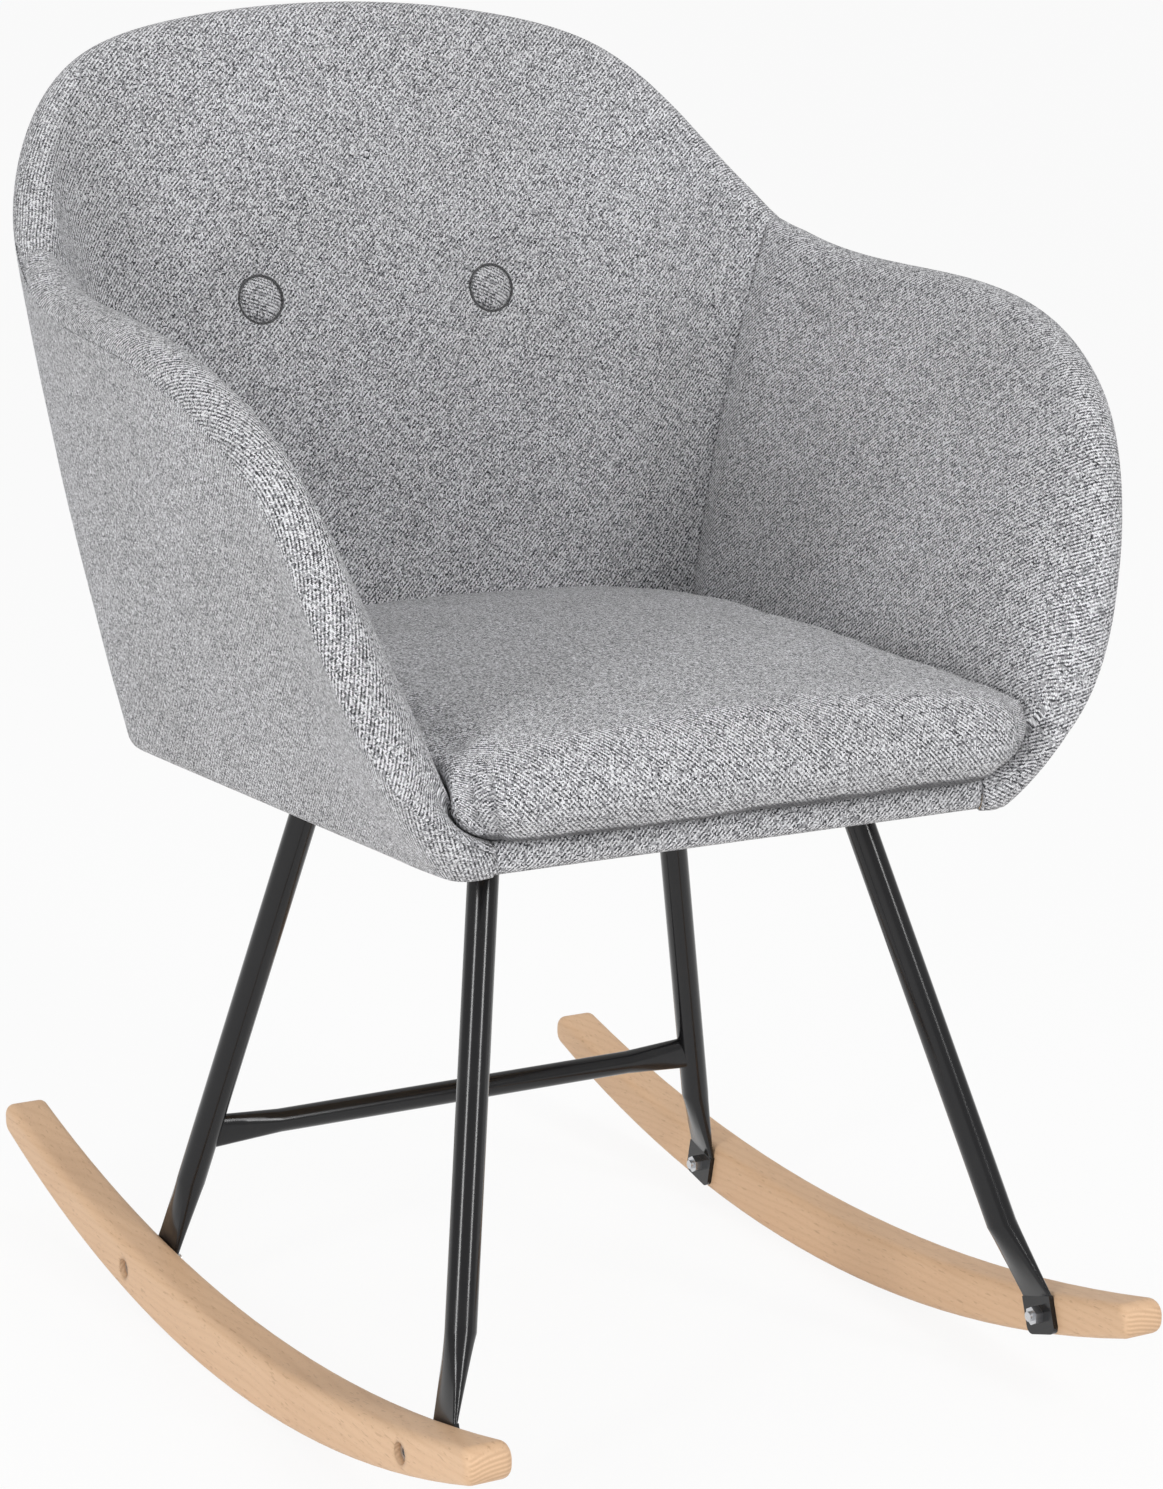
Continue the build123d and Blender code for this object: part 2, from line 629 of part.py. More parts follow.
# Screws through the wall into the board
def shell_screw(share):
    base, rim = wall_ends(share)
    place, height = wall_plane(share)
    level = BOARD_RISE + BOARD_THICKNESS / 2
    middle = base + (rim - base) * (level / (rim.Z - base.Z))
    inward = Vector(place.x_dir.X, place.x_dir.Y, 0).normalized()
    head_plane = Plane(middle - inward * (CORE_SIDE - SHELL_SCREW_SINK), z_dir=inward)
    head = extrude(head_plane * Circle(SHELL_SCREW_HEAD / 2), SHELL_SCREW_HEAD_HEIGHT)
    shank = extrude(head_plane * Circle(SHELL_SCREW_DIAMETER / 2), SHELL_SCREW_LENGTH)
    sink = extrude(head_plane * Circle(SHELL_SCREW_HEAD / 2), -CORE_THICKNESS)
    return head + shank, sink


screws = []
for share in SHELL_SCREW_SHARES:
    for twin in (share, 2 - share):
        screw, sink = shell_screw(twin)
        core -= screw + sink
        board -= screw
        screws.append(screw)


# Buttons, pulled into the back pad and held behind the core
def button_plane(share):
    """Plane on the inside of the back pad at a button, with Z into the room."""
    place, height = wall_plane(share)
    point = pad_face(share, place.from_local_coords((INSIDE_AT_RIM, BUTTON_RISE)).Z)
    local = place.to_local_coords(point)
    core_shift = local.X - bulge(local.Y, height)
    return Plane(point, x_dir=place.y_dir, z_dir=place.x_dir), core_shift


def make_button(share):
    """Button with its shank, its clip, and what they take out of the core and the pad."""
    place, depth = button_plane(share)
    low = -BUTTON_SINK
    top = low + BUTTON_THICKNESS
    half = BUTTON_DIAMETER / 2
    crown = BUTTON_THICKNESS / 2
    dome = (half**2 + crown**2) / (2 * crown)
    body = upright(BUTTON_DIAMETER, 0, 0, low, top) & Pos(0, 0, top - dome) * Sphere(dome)
    end = -depth - CORE_SIDE
    shank = upright(BUTTON_SHANK, 0, 0, end, low)
    hole = upright(BUTTON_SHANK + BUTTON_HOLE_CLEARANCE, 0, 0, end - CORE_SIDE, low)
    seat = end + CLEARANCE
    recess = upright(CLIP_DIAMETER + 2 * CLEARANCE, 0, 0, end - CORE_SIDE, seat + CLIP_THICKNESS)
    clip = upright(CLIP_DIAMETER, 0, 0, seat, seat + CLIP_THICKNESS) - upright(BUTTON_SHANK, 0, 0, end, low)
    pocket = upright(BUTTON_DIAMETER + 2 * CLEARANCE, 0, 0, low - CLEARANCE, BUTTON_SINK)
    tuft = Pos(0, 0, TUFT_RADIUS - BUTTON_SINK) * Sphere(TUFT_RADIUS)
    return place * (body + shank), place * clip, place * (hole + recess), place * (hole + pocket + tuft)


clips = []
for side, share in (("right", BUTTON_SHARE), ("left", 2 - BUTTON_SHARE)):
    button, clip, core_cut, pad_cut = make_button(share)
    core -= core_cut
    back_pad -= pad_cut
    clips.append(clip)
    parts[f"back_button_{side}"] = button

# The whole chair
rocker = make_rocker()
parts["rocker_right"] = rocker
parts["rocker_left"] = mirrored(rocker)
for end, top_y in (("front", LEG_TOP_FRONT_Y), ("rear", LEG_TOP_REAR_Y)):
    leg = make_leg(end)
    flange = make_flange(top_y)
    parts[f"leg_{end}_right"] = leg
    parts[f"leg_{end}_left"] = mirrored(leg)
    parts[f"leg_flange_{end}_right"] = flange
    parts[f"leg_flange_{end}_left"] = mirrored(flange)
parts["rear_crossbar"] = make_crossbar()
bolts = [make_rocker_bolt(y) for y in BOLT_YS]
nuts = [make_rocker_nut(y) for y in BOLT_YS]
parts["rocker_bolts"] = Compound(bolts + [mirrored(b) for b in bolts])
parts["rocker_nuts"] = Compound(nuts + [mirrored(n) for n in nuts])
parts["flange_screws"] = Compound([make_flange_screw(x, y) for x, y in flange_screw_places()])
parts["tee_nuts"] = Compound([make_tee_nut(x, y) for x, y in flange_screw_places()])
parts["tub_core"] = core
parts["outer_cover"] = cover
parts["inner_back_pad"] = back_pad
parts["inner_arm_pad_right"] = arm_pad
parts["inner_arm_pad_left"] = mirrored(arm_pad)
parts["seat_board"] = board
parts["front_band"] = band
parts["seat_cushion"] = cushion
parts["shell_screws"] = Compound(screws)
parts["button_clips"] = Compound(clips)

os.makedirs("parts", exist_ok=True)
for name, shape in parts.items():
    export_step(Pos(0, FRAME_SHIFT, 0) * shape, f"parts/{name}.step")
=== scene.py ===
import math
from contextlib import contextmanager

import bmesh
import bpy
import numpy as np
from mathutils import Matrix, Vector, noise
from mathutils.bvhtree import BVHTree


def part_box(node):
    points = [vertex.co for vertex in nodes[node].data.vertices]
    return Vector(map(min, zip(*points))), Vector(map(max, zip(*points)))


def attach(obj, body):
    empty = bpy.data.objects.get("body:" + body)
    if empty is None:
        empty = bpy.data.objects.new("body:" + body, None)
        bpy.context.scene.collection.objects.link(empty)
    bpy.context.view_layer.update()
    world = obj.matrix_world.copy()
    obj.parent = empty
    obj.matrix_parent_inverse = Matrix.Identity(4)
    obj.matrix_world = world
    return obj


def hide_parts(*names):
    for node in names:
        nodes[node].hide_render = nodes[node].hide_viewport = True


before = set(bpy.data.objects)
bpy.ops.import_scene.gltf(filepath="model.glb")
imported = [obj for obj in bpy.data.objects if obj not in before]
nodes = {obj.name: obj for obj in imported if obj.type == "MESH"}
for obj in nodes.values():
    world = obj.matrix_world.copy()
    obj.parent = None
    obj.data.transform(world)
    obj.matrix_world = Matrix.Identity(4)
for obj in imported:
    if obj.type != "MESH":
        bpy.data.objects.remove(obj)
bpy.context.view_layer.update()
scene = bpy.context.scene

# Sizes of the bucket in millimetres about the middle of the legs, with shares and angles, as in the solids
MM = 0.001
FRAME_SHIFT = -57.0
SHELL_Z = 358.0
TOE = (160.0, -186.0, 12.0)
FRONT_Y, FRONT_CORNER_X, FRONT_CORNER_RADIUS = -184.0, 174.0, 13.0
REAR_Y, REAR_CORNER_X, REAR_CORNER_RADIUS = 241.0, 198.0, 42.0
ARM_RISE, ARM_HALF_WIDTH = 273.0, 281.0
BACK_RISE, BACK_HALF_WIDTH, BACK_LEAN = 436.0, 184.0, 88.0
ARM_RIM = ((0.76, -198.0, 0.2), (0.853, -188.0, 0.393), (0.946, -147.0, 0.76),
           (1.0, -62.0, 0.941), (0.99, 60.0, 1.0), (0.92, 210.0, 1.11))
BACK_RIM = ((1.0, 0.835, 0.929), (0.6, 0.951, 0.98))
CORE_SIDE, OUTSIDE, INSIDE_AT_RIM, INSIDE_AT_SEAT = 4.5, 9.9, 18.4, 14.9
PAD_CROWN, WALL_BULGE = 13.0, 4.0
FAN, SEAM_SHARE, SEAM_LEAN, SEAM_SPREAD = 1.25, 0.705, 0.08, 0.28
SEAM_ANGLE, SEAM_DRAW, SEAM_FADE = 15.0, 5.0, 0.035
TOE_SHARE, TOE_SCALE, PAD_FOOT_SHARE = 0.16, 0.5, 0.06
BOARD_RISE, BOARD_THICKNESS = 8.0, 12.0
BUTTON_SHARE, BUTTON_RISE, BUTTON_DIAMETER = 0.915, 268.0, 30.0

# Details of the covers and buttons in millimetres; pleat depth and the turn of a button's weave are shares
BUTTON_PROFILE = (
    (0.0, -2.3), (3.0, -2.35), (6.0, -2.6), (9.0, -3.1), (11.6, -3.9), (13.4, -5.0), (14.6, -6.4),
    (BUTTON_DIAMETER / 2, -7.8), (14.4, -9.2), (12.6, -10.0), (8.0, -10.2), (0.0, -10.2),
)
BUTTON_PLEATS, PLEAT_DEPTH, PLEATS_FROM, PLEATS_FADE = 14, 0.012, 9.0, 6.0
BUTTON_WEAVE = (0.94, 0.34)
FOLD_RADIUS, FOLD_DEPTH, FOLD_THICKNESS = 15.3, 5.5, 0.85
CORE_GAP, PAD_FOOT_GAP = 0.3, 0.4
SEAM_FOLD, TUFT_PULL, TUFT_HOLLOW = 2.6, 6.0, 1.6
PAD_TUCK = ((0.5, -0.9), (1.6, -1.3))
COVER_TUCK = ((2.2, 0.1), (1.0, 0.2), (0.3, -0.3))
COVER_DROP, COVER_EDGE, COVER_UNDER, COVER_LIP = 1.0, 7.0, 1.2, 4.0
RIM_STITCH, BACK_STITCH, PAD_TURN, CORNER_SEAM_DEPTH = (0.55, -0.75), 0.35, 1.2, 1.3

# Shares along the wall, from 0 at the right toe to 2 at the left one, and up the slanted back seams
WALL_STEP, SEAM_FOLD_SHARE, SEAM_HALF, END_SHARE = 0.004, 0.006, 0.0004, 0.006
END_STEPS = (0.1, 0.25, 0.45, 0.7, 1.0)
RIM_SEAM_ENDS, BACK_SEAM_ENDS = (0.015, 1.985), (0.08, 1.0)

# Counts of points in the covers, and the first and last column of the outer cover that is unrolled
PAD_POINTS, ROLL_POINTS, SIDE_POINTS = 84, 40, 70
COVER_FIRST, COVER_LAST, FADE_POINTS = 4, 74, 6.0
COVER_TOP_POINTS, COVER_FOOT_POINTS = 8, 10
BUTTON_POINTS, FOLD_POINTS, FOLD_SIDES = 64, 73, 8

# Unevenness of stuffed cloth: how long its waves are, in metres, and how deep, in millimetres
PAD_WAVES, CUSHION_WAVES = ((0.09, 0.7), (0.03, 0.18)), ((0.10, 0.9), (0.035, 0.3))
COVER_WAVES, RAIL_WAVES, CREASE_SHADE_WAVES = (0.11, 0.6), (0.06, 0.5), (0.045, 2.0)
COVER_WAVES_SHIFT = 5.0

# Sizes of the cushion, the rail under it, the bands of painted shade on them, the buttons' pull and the steps
# of a button's fold, in metres
CUSHION_CORNER, CUSHION_CLEARANCE, CUSHION_PUSH = 0.034, 0.0022, 0.009
CUSHION_SKIN, CUSHION_SWELL, CUSHION_INSET = 0.005, 0.007, 0.045
CORNER_SEAM_WIDTH, CREASE_SHADE_RISE, CREASE_SHADE_FADE = 0.0022, 0.0048, 0.003
RAIL_PAST, RAIL_ROUND, RAIL_FOLD, RAIL_FOLD_WIDTH = 0.0018, 0.0066, 0.0022, 0.004
RAIL_FRONT, RAIL_BACK, RAIL_BOTTOM, RAIL_TOP = 0.0008, 0.0004, 0.0006, 0.0002
RAIL_SHADE_UNDER, RAIL_SHADE_BESIDE, RAIL_SHADE_FADE = 0.0025, 0.0014, 0.0012
RAIL_STITCH_OUT, RAIL_STITCH_IN, RAIL_STITCH_FOOT, RAIL_STITCH_TOP = 0.0001, 0.0006, 0.002, 0.001
TUFT_PULL_REACH, TUFT_HOLLOW_REACH = 0.027, 0.075
FOLD_STEP, FOLD_SIDE = 0.0013, 0.0007

# Parts of a fold's depth that its neighbours follow, and how strong the painted shade is in a seam
DRAW_OUTSIDE, DRAW_ON_TOP, RAIL_FOLD_UNDER, RAIL_FOLD_ON_TOP = 0.5, 0.4, 0.4, 0.5
RAIL_SEAM_SHADE, CORNER_SEAM_SHADE = 0.7, 0.45


def ease(value):
    value = min(max(value, 0.0), 1.0)
    return value * value * (3 - 2 * value)


def round_fold(away, width):
    """1 at a seam, falling along a quarter circle to 0 at a width from it."""
    return 1 - math.sqrt(max(0.0, 1 - max(0.0, 1 - away / width) ** 2))


def run_lengths(points):
    """Length along a line of points, from its start to each of them."""
    return np.concatenate([[0], np.cumsum(np.linalg.norm(np.diff(points, axis=0), axis=1))])


# Lines that the bucket's wall stands between
def spline_line(points, count=4000):
    """Smooth line through points, sampled evenly in its parameter."""
    knots = np.array(points, float)
    marks = run_lengths(knots)
    gaps = np.diff(marks)
    last = len(knots) - 1

    def end_slope(a, b, c):
        first = (knots[b] - knots[a]) / (marks[b] - marks[a])
        second = (knots[c] - knots[b]) / (marks[c] - marks[b])
        return first + (marks[a] - marks[b]) * (second - first) / (marks[c] - marks[a])

    matrix = np.zeros((last + 1, last + 1))
    right = np.zeros((last + 1, 3))
    matrix[0, 0] = matrix[-1, -1] = 1
    right[0] = end_slope(0, 1, 2)
    right[-1] = end_slope(last, last - 1, last - 2)
    for i in range(1, last):
        matrix[i, i - 1 : i + 2] = gaps[i], 2 * (gaps[i - 1] + gaps[i]), gaps[i - 1]
        before, after = knots[i] - knots[i - 1], knots[i + 1] - knots[i]
        right[i] = 3 * (gaps[i] * before / gaps[i - 1] + gaps[i - 1] * after / gaps[i])
    slopes = np.linalg.solve(matrix, right)
    places = np.linspace(0, marks[-1], count)
    k = np.clip(np.searchsorted(marks, places, side="right") - 1, 0, last - 1)
    part = ((places - marks[k]) / gaps[k])[:, None]
    step = gaps[k][:, None]
    return (
        (1 + 2 * part) * (1 - part) ** 2 * knots[k] + part * (1 - part) ** 2 * step * slopes[k]
        + part**2 * (3 - 2 * part) * knots[k + 1] + part**2 * (part - 1) * step * slopes[k + 1]
    )


def rounded_line(points, radii, corner_points=40):
    """Straight runs with rounded corners between them."""
    places = [np.array(point, float) for point in points]
    line = [places[0]]
    for before, corner, after, radius in zip(places, places[1:], places[2:], radii):
        back = (before - corner) / np.linalg.norm(before - corner)
        ahead = (after - corner) / np.linalg.norm(after - corner)
        half = math.acos(np.clip(back @ ahead, -1, 1)) / 2
        middle = (back + ahead) / np.linalg.norm(back + ahead)
        centre = corner + middle * radius / math.sin(half)
        start = corner + back * radius / math.tan(half) - centre
        end = corner + ahead * radius / math.tan(half) - centre
        turn = math.acos(np.clip(start @ end / radius**2, -1, 1))
        for part in np.linspace(0, 1, corner_points):
            swing = math.sin((1 - part) * turn) * start + math.sin(part * turn) * end
            line.append(centre + swing / math.sin(turn))
    return np.array(line + [places[-1]])


class Line:
    """Line that is read by the share of its length."""

    def __init__(self, points):
        self.points = np.array(points)
        self.lengths = run_lengths(self.points)
        self.length = self.lengths[-1]

    def at(self, share):
        return np.array([np.interp(share * self.length, self.lengths, c) for c in self.points.T])


half_rim = [(TOE[0], TOE[1], SHELL_Z + TOE[2])]
half_rim += [(wide * ARM_HALF_WIDTH, y, SHELL_Z + rise * ARM_RISE) for wide, y, rise in ARM_RIM]
half_rim += [
    (wide * BACK_HALF_WIDTH, REAR_Y + lean * BACK_LEAN, SHELL_Z + rise * BACK_RISE)
    for wide, lean, rise in BACK_RIM
]
rim_top = [(0.0, REAR_Y + BACK_LEAN, SHELL_Z + BACK_RISE)]
rim_line = Line(spline_line(half_rim + rim_top + [(-x, y, z) for x, y, z in reversed(half_rim)]))
base_line = Line(rounded_line(
    [(TOE[0], FRONT_Y), (FRONT_CORNER_X, FRONT_Y), (REAR_CORNER_X, REAR_Y), (0, REAR_Y)],
    (FRONT_CORNER_RADIUS, REAR_CORNER_RADIUS),
))


def wall_ends(share):
    """Lower edge and rim at a share: 0 at the right toe, 1 in the middle of the back, 2 at the left toe."""
    near = min(share, 2 - share)
    base = base_line.at(near**FAN)
    lean = SEAM_LEAN * (1 - ease(abs(near - SEAM_SHARE) / SEAM_SPREAD))
    rim = rim_line.at((near - lean) / 2)
    side = 1 if share <= 1 else -1
    return np.array([side * base[0], base[1], SHELL_Z]), np.array([side * rim[0], rim[1], rim[2]])


class Wall:
    """Section of the wall: its foot, the ways in and up, its height, its scale at the toe and its roll."""

    def __init__(self, share):
        self.near = min(share, 2 - share)
        self.foot, rim = wall_ends(share)
        behind, ahead = wall_ends(max(share - WALL_STEP, 0)), wall_ends(min(share + WALL_STEP, 2))
        along = ahead[0] + ahead[1] - behind[0] - behind[1]
        self.height = np.linalg.norm(rim - self.foot)
        self.up = (rim - self.foot) / self.height
        inward = np.cross(self.up, along / np.linalg.norm(along))
        self.inward = inward / np.linalg.norm(inward)
        self.scale = TOE_SCALE + (1 - TOE_SCALE) * ease(self.near / TOE_SHARE)
        self.roll = (INSIDE_AT_RIM + OUTSIDE) / 2 * self.scale
        self.centre = (INSIDE_AT_RIM - OUTSIDE) / 2 * self.scale
        self.slot = CORE_SIDE * self.scale + CORE_GAP

    def place(self, local):
        """Points in metres in the frame, from points inward and up."""
        local = np.asarray(local, float)
        p = self.foot + local[:, :1] * self.inward + local[:, 1:2] * self.up
        p[:, 1] += FRAME_SHIFT
        return p * MM

    def bulge(self, rise):
        part = rise / self.height
        return -4 * WALL_BULGE * part * (1 - part) * self.scale

    def pad_foot(self):
        return PAD_FOOT_GAP + (BOARD_RISE + BOARD_THICKNESS) / self.up[2] * ease(self.near / PAD_FOOT_SHARE)

    def pad_inside(self, part, draw=0.0):
        """How far inward the pad's face is at a part of its height."""
        flat = INSIDE_AT_SEAT + (INSIDE_AT_RIM - INSIDE_AT_SEAT) * part - draw
        return (flat + 4 * (PAD_CROWN - WALL_BULGE) * part * (1 - part)) * self.scale

    def outer_roll(self, angle):
        """Place on the outside of the roll over the rim, at an angle above the level."""
        out, rise = self.roll * math.cos(angle), self.roll * math.sin(angle)
        return np.array((self.centre - out, self.height + rise))


# Meshes
def new_piece(name, mesh, material):
    piece = bpy.data.objects.new(name, mesh)
    scene.collection.objects.link(piece)
    piece.data.materials.clear()
    piece.data.materials.append(material)
    return piece


def finished_mesh(name, bm):
    mesh = bpy.data.meshes.new(name)
    bm.to_mesh(mesh)
    bm.free()
    return mesh


@contextmanager
def editing(mesh):
    """Opens a mesh for edits and writes them back."""
    bm = bmesh.new()
    bm.from_mesh(mesh)
    yield bm
    bm.to_mesh(mesh)
    bm.free()


def settle(piece):
    """Makes what the modifiers give the piece's own plain mesh."""
    made = bpy.data.meshes.new_from_object(piece.evaluated_get(bpy.context.evaluated_depsgraph_get()))
    piece.modifiers.clear()
    piece.data = made
    return made


def strip_mesh(name, rows, threads, caps=True):
    """Closed skin over rows of points that go round a section, with the weave's own coordinates."""
    bm = bmesh.new()
    count = len(rows[0])
    grid = [[bm.verts.new(p) for p in row] for row in rows]
    uv = bm.loops.layers.uv.new("weave")
    place = {}
    for row, marks in zip(grid, threads):
        for vert, mark in zip(row, marks):
            place[vert] = mark
    for a, b in zip(grid, grid[1:]):
        for j in range(count):
            k = (j + 1) % count
            bm.faces.new((a[j], a[k], b[k], b[j]))
    if caps:
        bm.faces.new(grid[0])
        bm.faces.new(list(reversed(grid[-1])))
    for face in bm.faces:
        face.smooth = True
        for loop in face.loops:
            loop[uv].uv = place[loop.vert]
    bmesh.ops.recalc_face_normals(bm, faces=bm.faces)
    return finished_mesh(name, bm)


def lay_flat(rows, first, last):
    """Weave coordinates in metres. The strip between two columns is unrolled from its middle row, triangle
    by triangle, and every row is laid straight along its own line. Past the strip, each step keeps its length
    and its angle to the column before it."""
    points = np.array(rows)
    count = len(points)
    low, high = points[:, first], points[:, last]
    flat_low, flat_high = np.zeros((count, 2)), np.zeros((count, 2))
    start = count // 2
    flat_high[start] = (0, np.linalg.norm(high[start] - low[start]))

    def gap(a, b):
        return np.linalg.norm(b - a)

    def corner(a, b, from_a, from_b, side):
        apart = gap(a, b)
        along = (b - a) / apart
        reach = (from_a**2 - from_b**2 + apart**2) / (2 * apart)
        out = math.sqrt(max(from_a**2 - reach**2, 0.0))
        return a + along * reach + side * out * np.array((-along[1], along[0]))

    for order, side in ((range(start, count - 1), -1), (range(start, 0, -1), 1)):
        for i in order:
            k = i - side
            from_low, from_high = gap(low[i], low[k]), gap(high[i], low[k])
            flat_low[k] = corner(flat_low[i], flat_high[i], from_low, from_high, side)
            from_low, from_high = gap(low[k], high[k]), gap(high[i], high[k])
            flat_high[k] = corner(flat_low[k], flat_high[i], from_low, from_high, side)
    along = flat_high - flat_low
    along /= np.linalg.norm(along, axis=1, keepdims=True)
    steps = np.linalg.norm(np.diff(points, axis=1), axis=2)
    lengths = np.concatenate([np.zeros((count, 1)), np.cumsum(steps, axis=1)], axis=1)
    lengths -= lengths[:, first : first + 1]
    flat = flat_low[:, None, :] + lengths[:, :, None] * along[:, None, :]
    for k in range(last, points.shape[1] - 1):
        run = np.gradient(points[:, k], axis=0)
        flat_run = np.gradient(flat[:, k], axis=0)
        run /= np.linalg.norm(run, axis=1, keepdims=True)
        flat_run /= np.linalg.norm(flat_run, axis=1, keepdims=True)
        step = points[:, k + 1] - points[:, k]
        length = np.linalg.norm(step, axis=1)
        with_run = np.sum(step * run, axis=1)
        from_run = np.sqrt(np.maximum(length**2 - with_run**2, 0.0))
        aside = np.stack([-flat_run[:, 1], flat_run[:, 0]], axis=1)
        flat[:, k + 1] = flat[:, k] + with_run[:, None] * flat_run + from_run[:, None] * aside
    return flat


def unevenness(point, size, depth):
    """Soft rise and fall of stuffed cloth."""
    return depth * (noise.noise(Vector(point) / size) + 0.5 * noise.noise(Vector(point) / (0.45 * size)))


# Shader nodes
def node_input(node, name):
    return next(s for s in node.inputs if s.name == name and s.enabled)


class Shader:
    """Short way to place and join shader nodes in a tree."""

    def __init__(self, tree):
        self.tree = tree

    def add(self, kind, **settings):
        node = self.tree.nodes.new(kind)
        for key, value in settings.items():
            setattr(node, key, value)
        return node

    def join(self, source, target):
        self.tree.links.new(source, target)

    def feed(self, socket, value):
        if isinstance(value, bpy.types.NodeSocket):
            self.join(value, socket)
        elif value is not None:
            socket.default_value = value

    def math(self, operation, a, b=None):
        node = self.add("ShaderNodeMath", operation=operation)
        for socket, value in zip(node.inputs, (a, b)):
            self.feed(socket, value)
        return node.outputs[0]

    def plus(self, a, b):
        return self.math("ADD", a, b)

    def minus(self, a, b):
        return self.math("SUBTRACT", a, b)

    def times(self, a, b):
        return self.math("MULTIPLY", a, b)

    def vector(self, operation, a, b=None):
        node = self.add("ShaderNodeVectorMath", operation=operation)
        for socket, value in zip(node.inputs, (a, b)):
            self.feed(socket, value)
        return node.outputs[0]

    def combine(self, x, y, z):
        node = self.add("ShaderNodeCombineXYZ")
        for socket, value in zip(node.inputs, (x, y, z)):
            self.feed(socket, value)
        return node.outputs[0]

    def separate(self, vector):
        node = self.add("ShaderNodeSeparateXYZ")
        self.join(vector, node.inputs[0])
        return node.outputs

    def noise(self, vector, scale, detail=2.0, roughness=0.5):
        node = self.add("ShaderNodeTexNoise")
        self.feed(node.inputs["Vector"], vector)
        self.feed(node.inputs["Scale"], scale)
        node.inputs["Detail"].default_value = detail
        node.inputs["Roughness"].default_value = roughness
        return node.outputs["Fac"]

    def dice(self, vector):
        node = self.add("ShaderNodeTexWhiteNoise", noise_dimensions="3D")
        self.join(vector, node.inputs["Vector"])
        return node.outputs["Value"]

    def mix(self, share, a, b, blend="MIX"):
        node = self.add("ShaderNodeMix", data_type="RGBA", blend_type=blend)
        self.feed(node.inputs["Factor"], share)
        self.feed(node_input(node, "A"), a)
        self.feed(node_input(node, "B"), b)
        return next(o for o in node.outputs if o.enabled)

    def ramp(self, value, stops):
        node = self.add("ShaderNodeValToRGB")
        marks = node.color_ramp.elements
        while len(marks) < len(stops):
            marks.new(0.5)
        for mark, (place, colour) in zip(marks, stops):
            mark.position = place
            mark.color = (*colour, 1)
        self.join(value, node.inputs[0])
        return node.outputs[0]

    def span(self, value, low, high):
        """0 below low, 1 above high, smooth between them."""
        node = self.add("ShaderNodeMapRange", interpolation_type="SMOOTHSTEP")
        self.join(value, node.inputs["Value"])
        node.inputs["From Min"].default_value = low
        node.inputs["From Max"].default_value = high
        return node.outputs[0]

    def bump(self, height, strength, distance):
        node = self.add("ShaderNodeBump")
        node.inputs["Strength"].default_value = strength
        node.inputs["Distance"].default_value = distance
        self.join(height, node.inputs["Height"])
        return node.outputs[0]


def new_group(name, inputs, outputs):
    tree = bpy.data.node_groups.new(name, "ShaderNodeTree")
    for title, kind, value in inputs:
        socket = tree.interface.new_socket(title, in_out="INPUT", socket_type=kind)
        if value is not None:
            socket.default_value = value
    for title, kind in outputs:
        tree.interface.new_socket(title, in_out="OUTPUT", socket_type=kind)
    start = tree.nodes.new("NodeGroupInput")
    end = tree.nodes.new("NodeGroupOutput")
    return Shader(tree), start.outputs, end.inputs


def new_material(name):
    material = bpy.data.materials.new(name)
    material.use_nodes = True
    shader = Shader(material.node_tree)
    surface = next(n for n in material.node_tree.nodes if n.type == "BSDF_PRINCIPLED")
    return material, shader, surface


def place_group(shader, group, **values):
    node = shader.add("ShaderNodeGroup", node_tree=group)
    for title, value in values.items():
        shader.feed(node.inputs[title.replace("_", " ")], value)
    return node.outputs


# Cloth: twill of mottled light and dark yarns, with lengths in threads and scales in waves per metre
WOBBLE_SCALE, WARP_WOBBLE, WEFT_WOBBLE = 130.0, 1.7, -1.4
TWILL_REPEAT, TWILL_OVER, SLIP_SHARE = 4.0, 1.5, 0.08
YARN_SHIFT, WARP_PATCH, WEFT_PATCH = 9.0, 2.2, 2.0
WARP_TONE, WARP_PALER, WEFT_TONE = 0.62, 0.40, 0.66
FIBRE_SCALE, FIBRE_TONE = 2600.0, 0.35
SLUB_SCALE, SLUB_STRETCH, SLUB_TONE = 480.0, (1.0, 0.6, 1.0), 0.4
DARK_TONES, PALE_TONES = (0.46, 0.22), (0.50, 0.74)
WEFT_HEIGHT, GAP_SHADE, CREASE_SHADE = 0.8, 0.45, 0.85


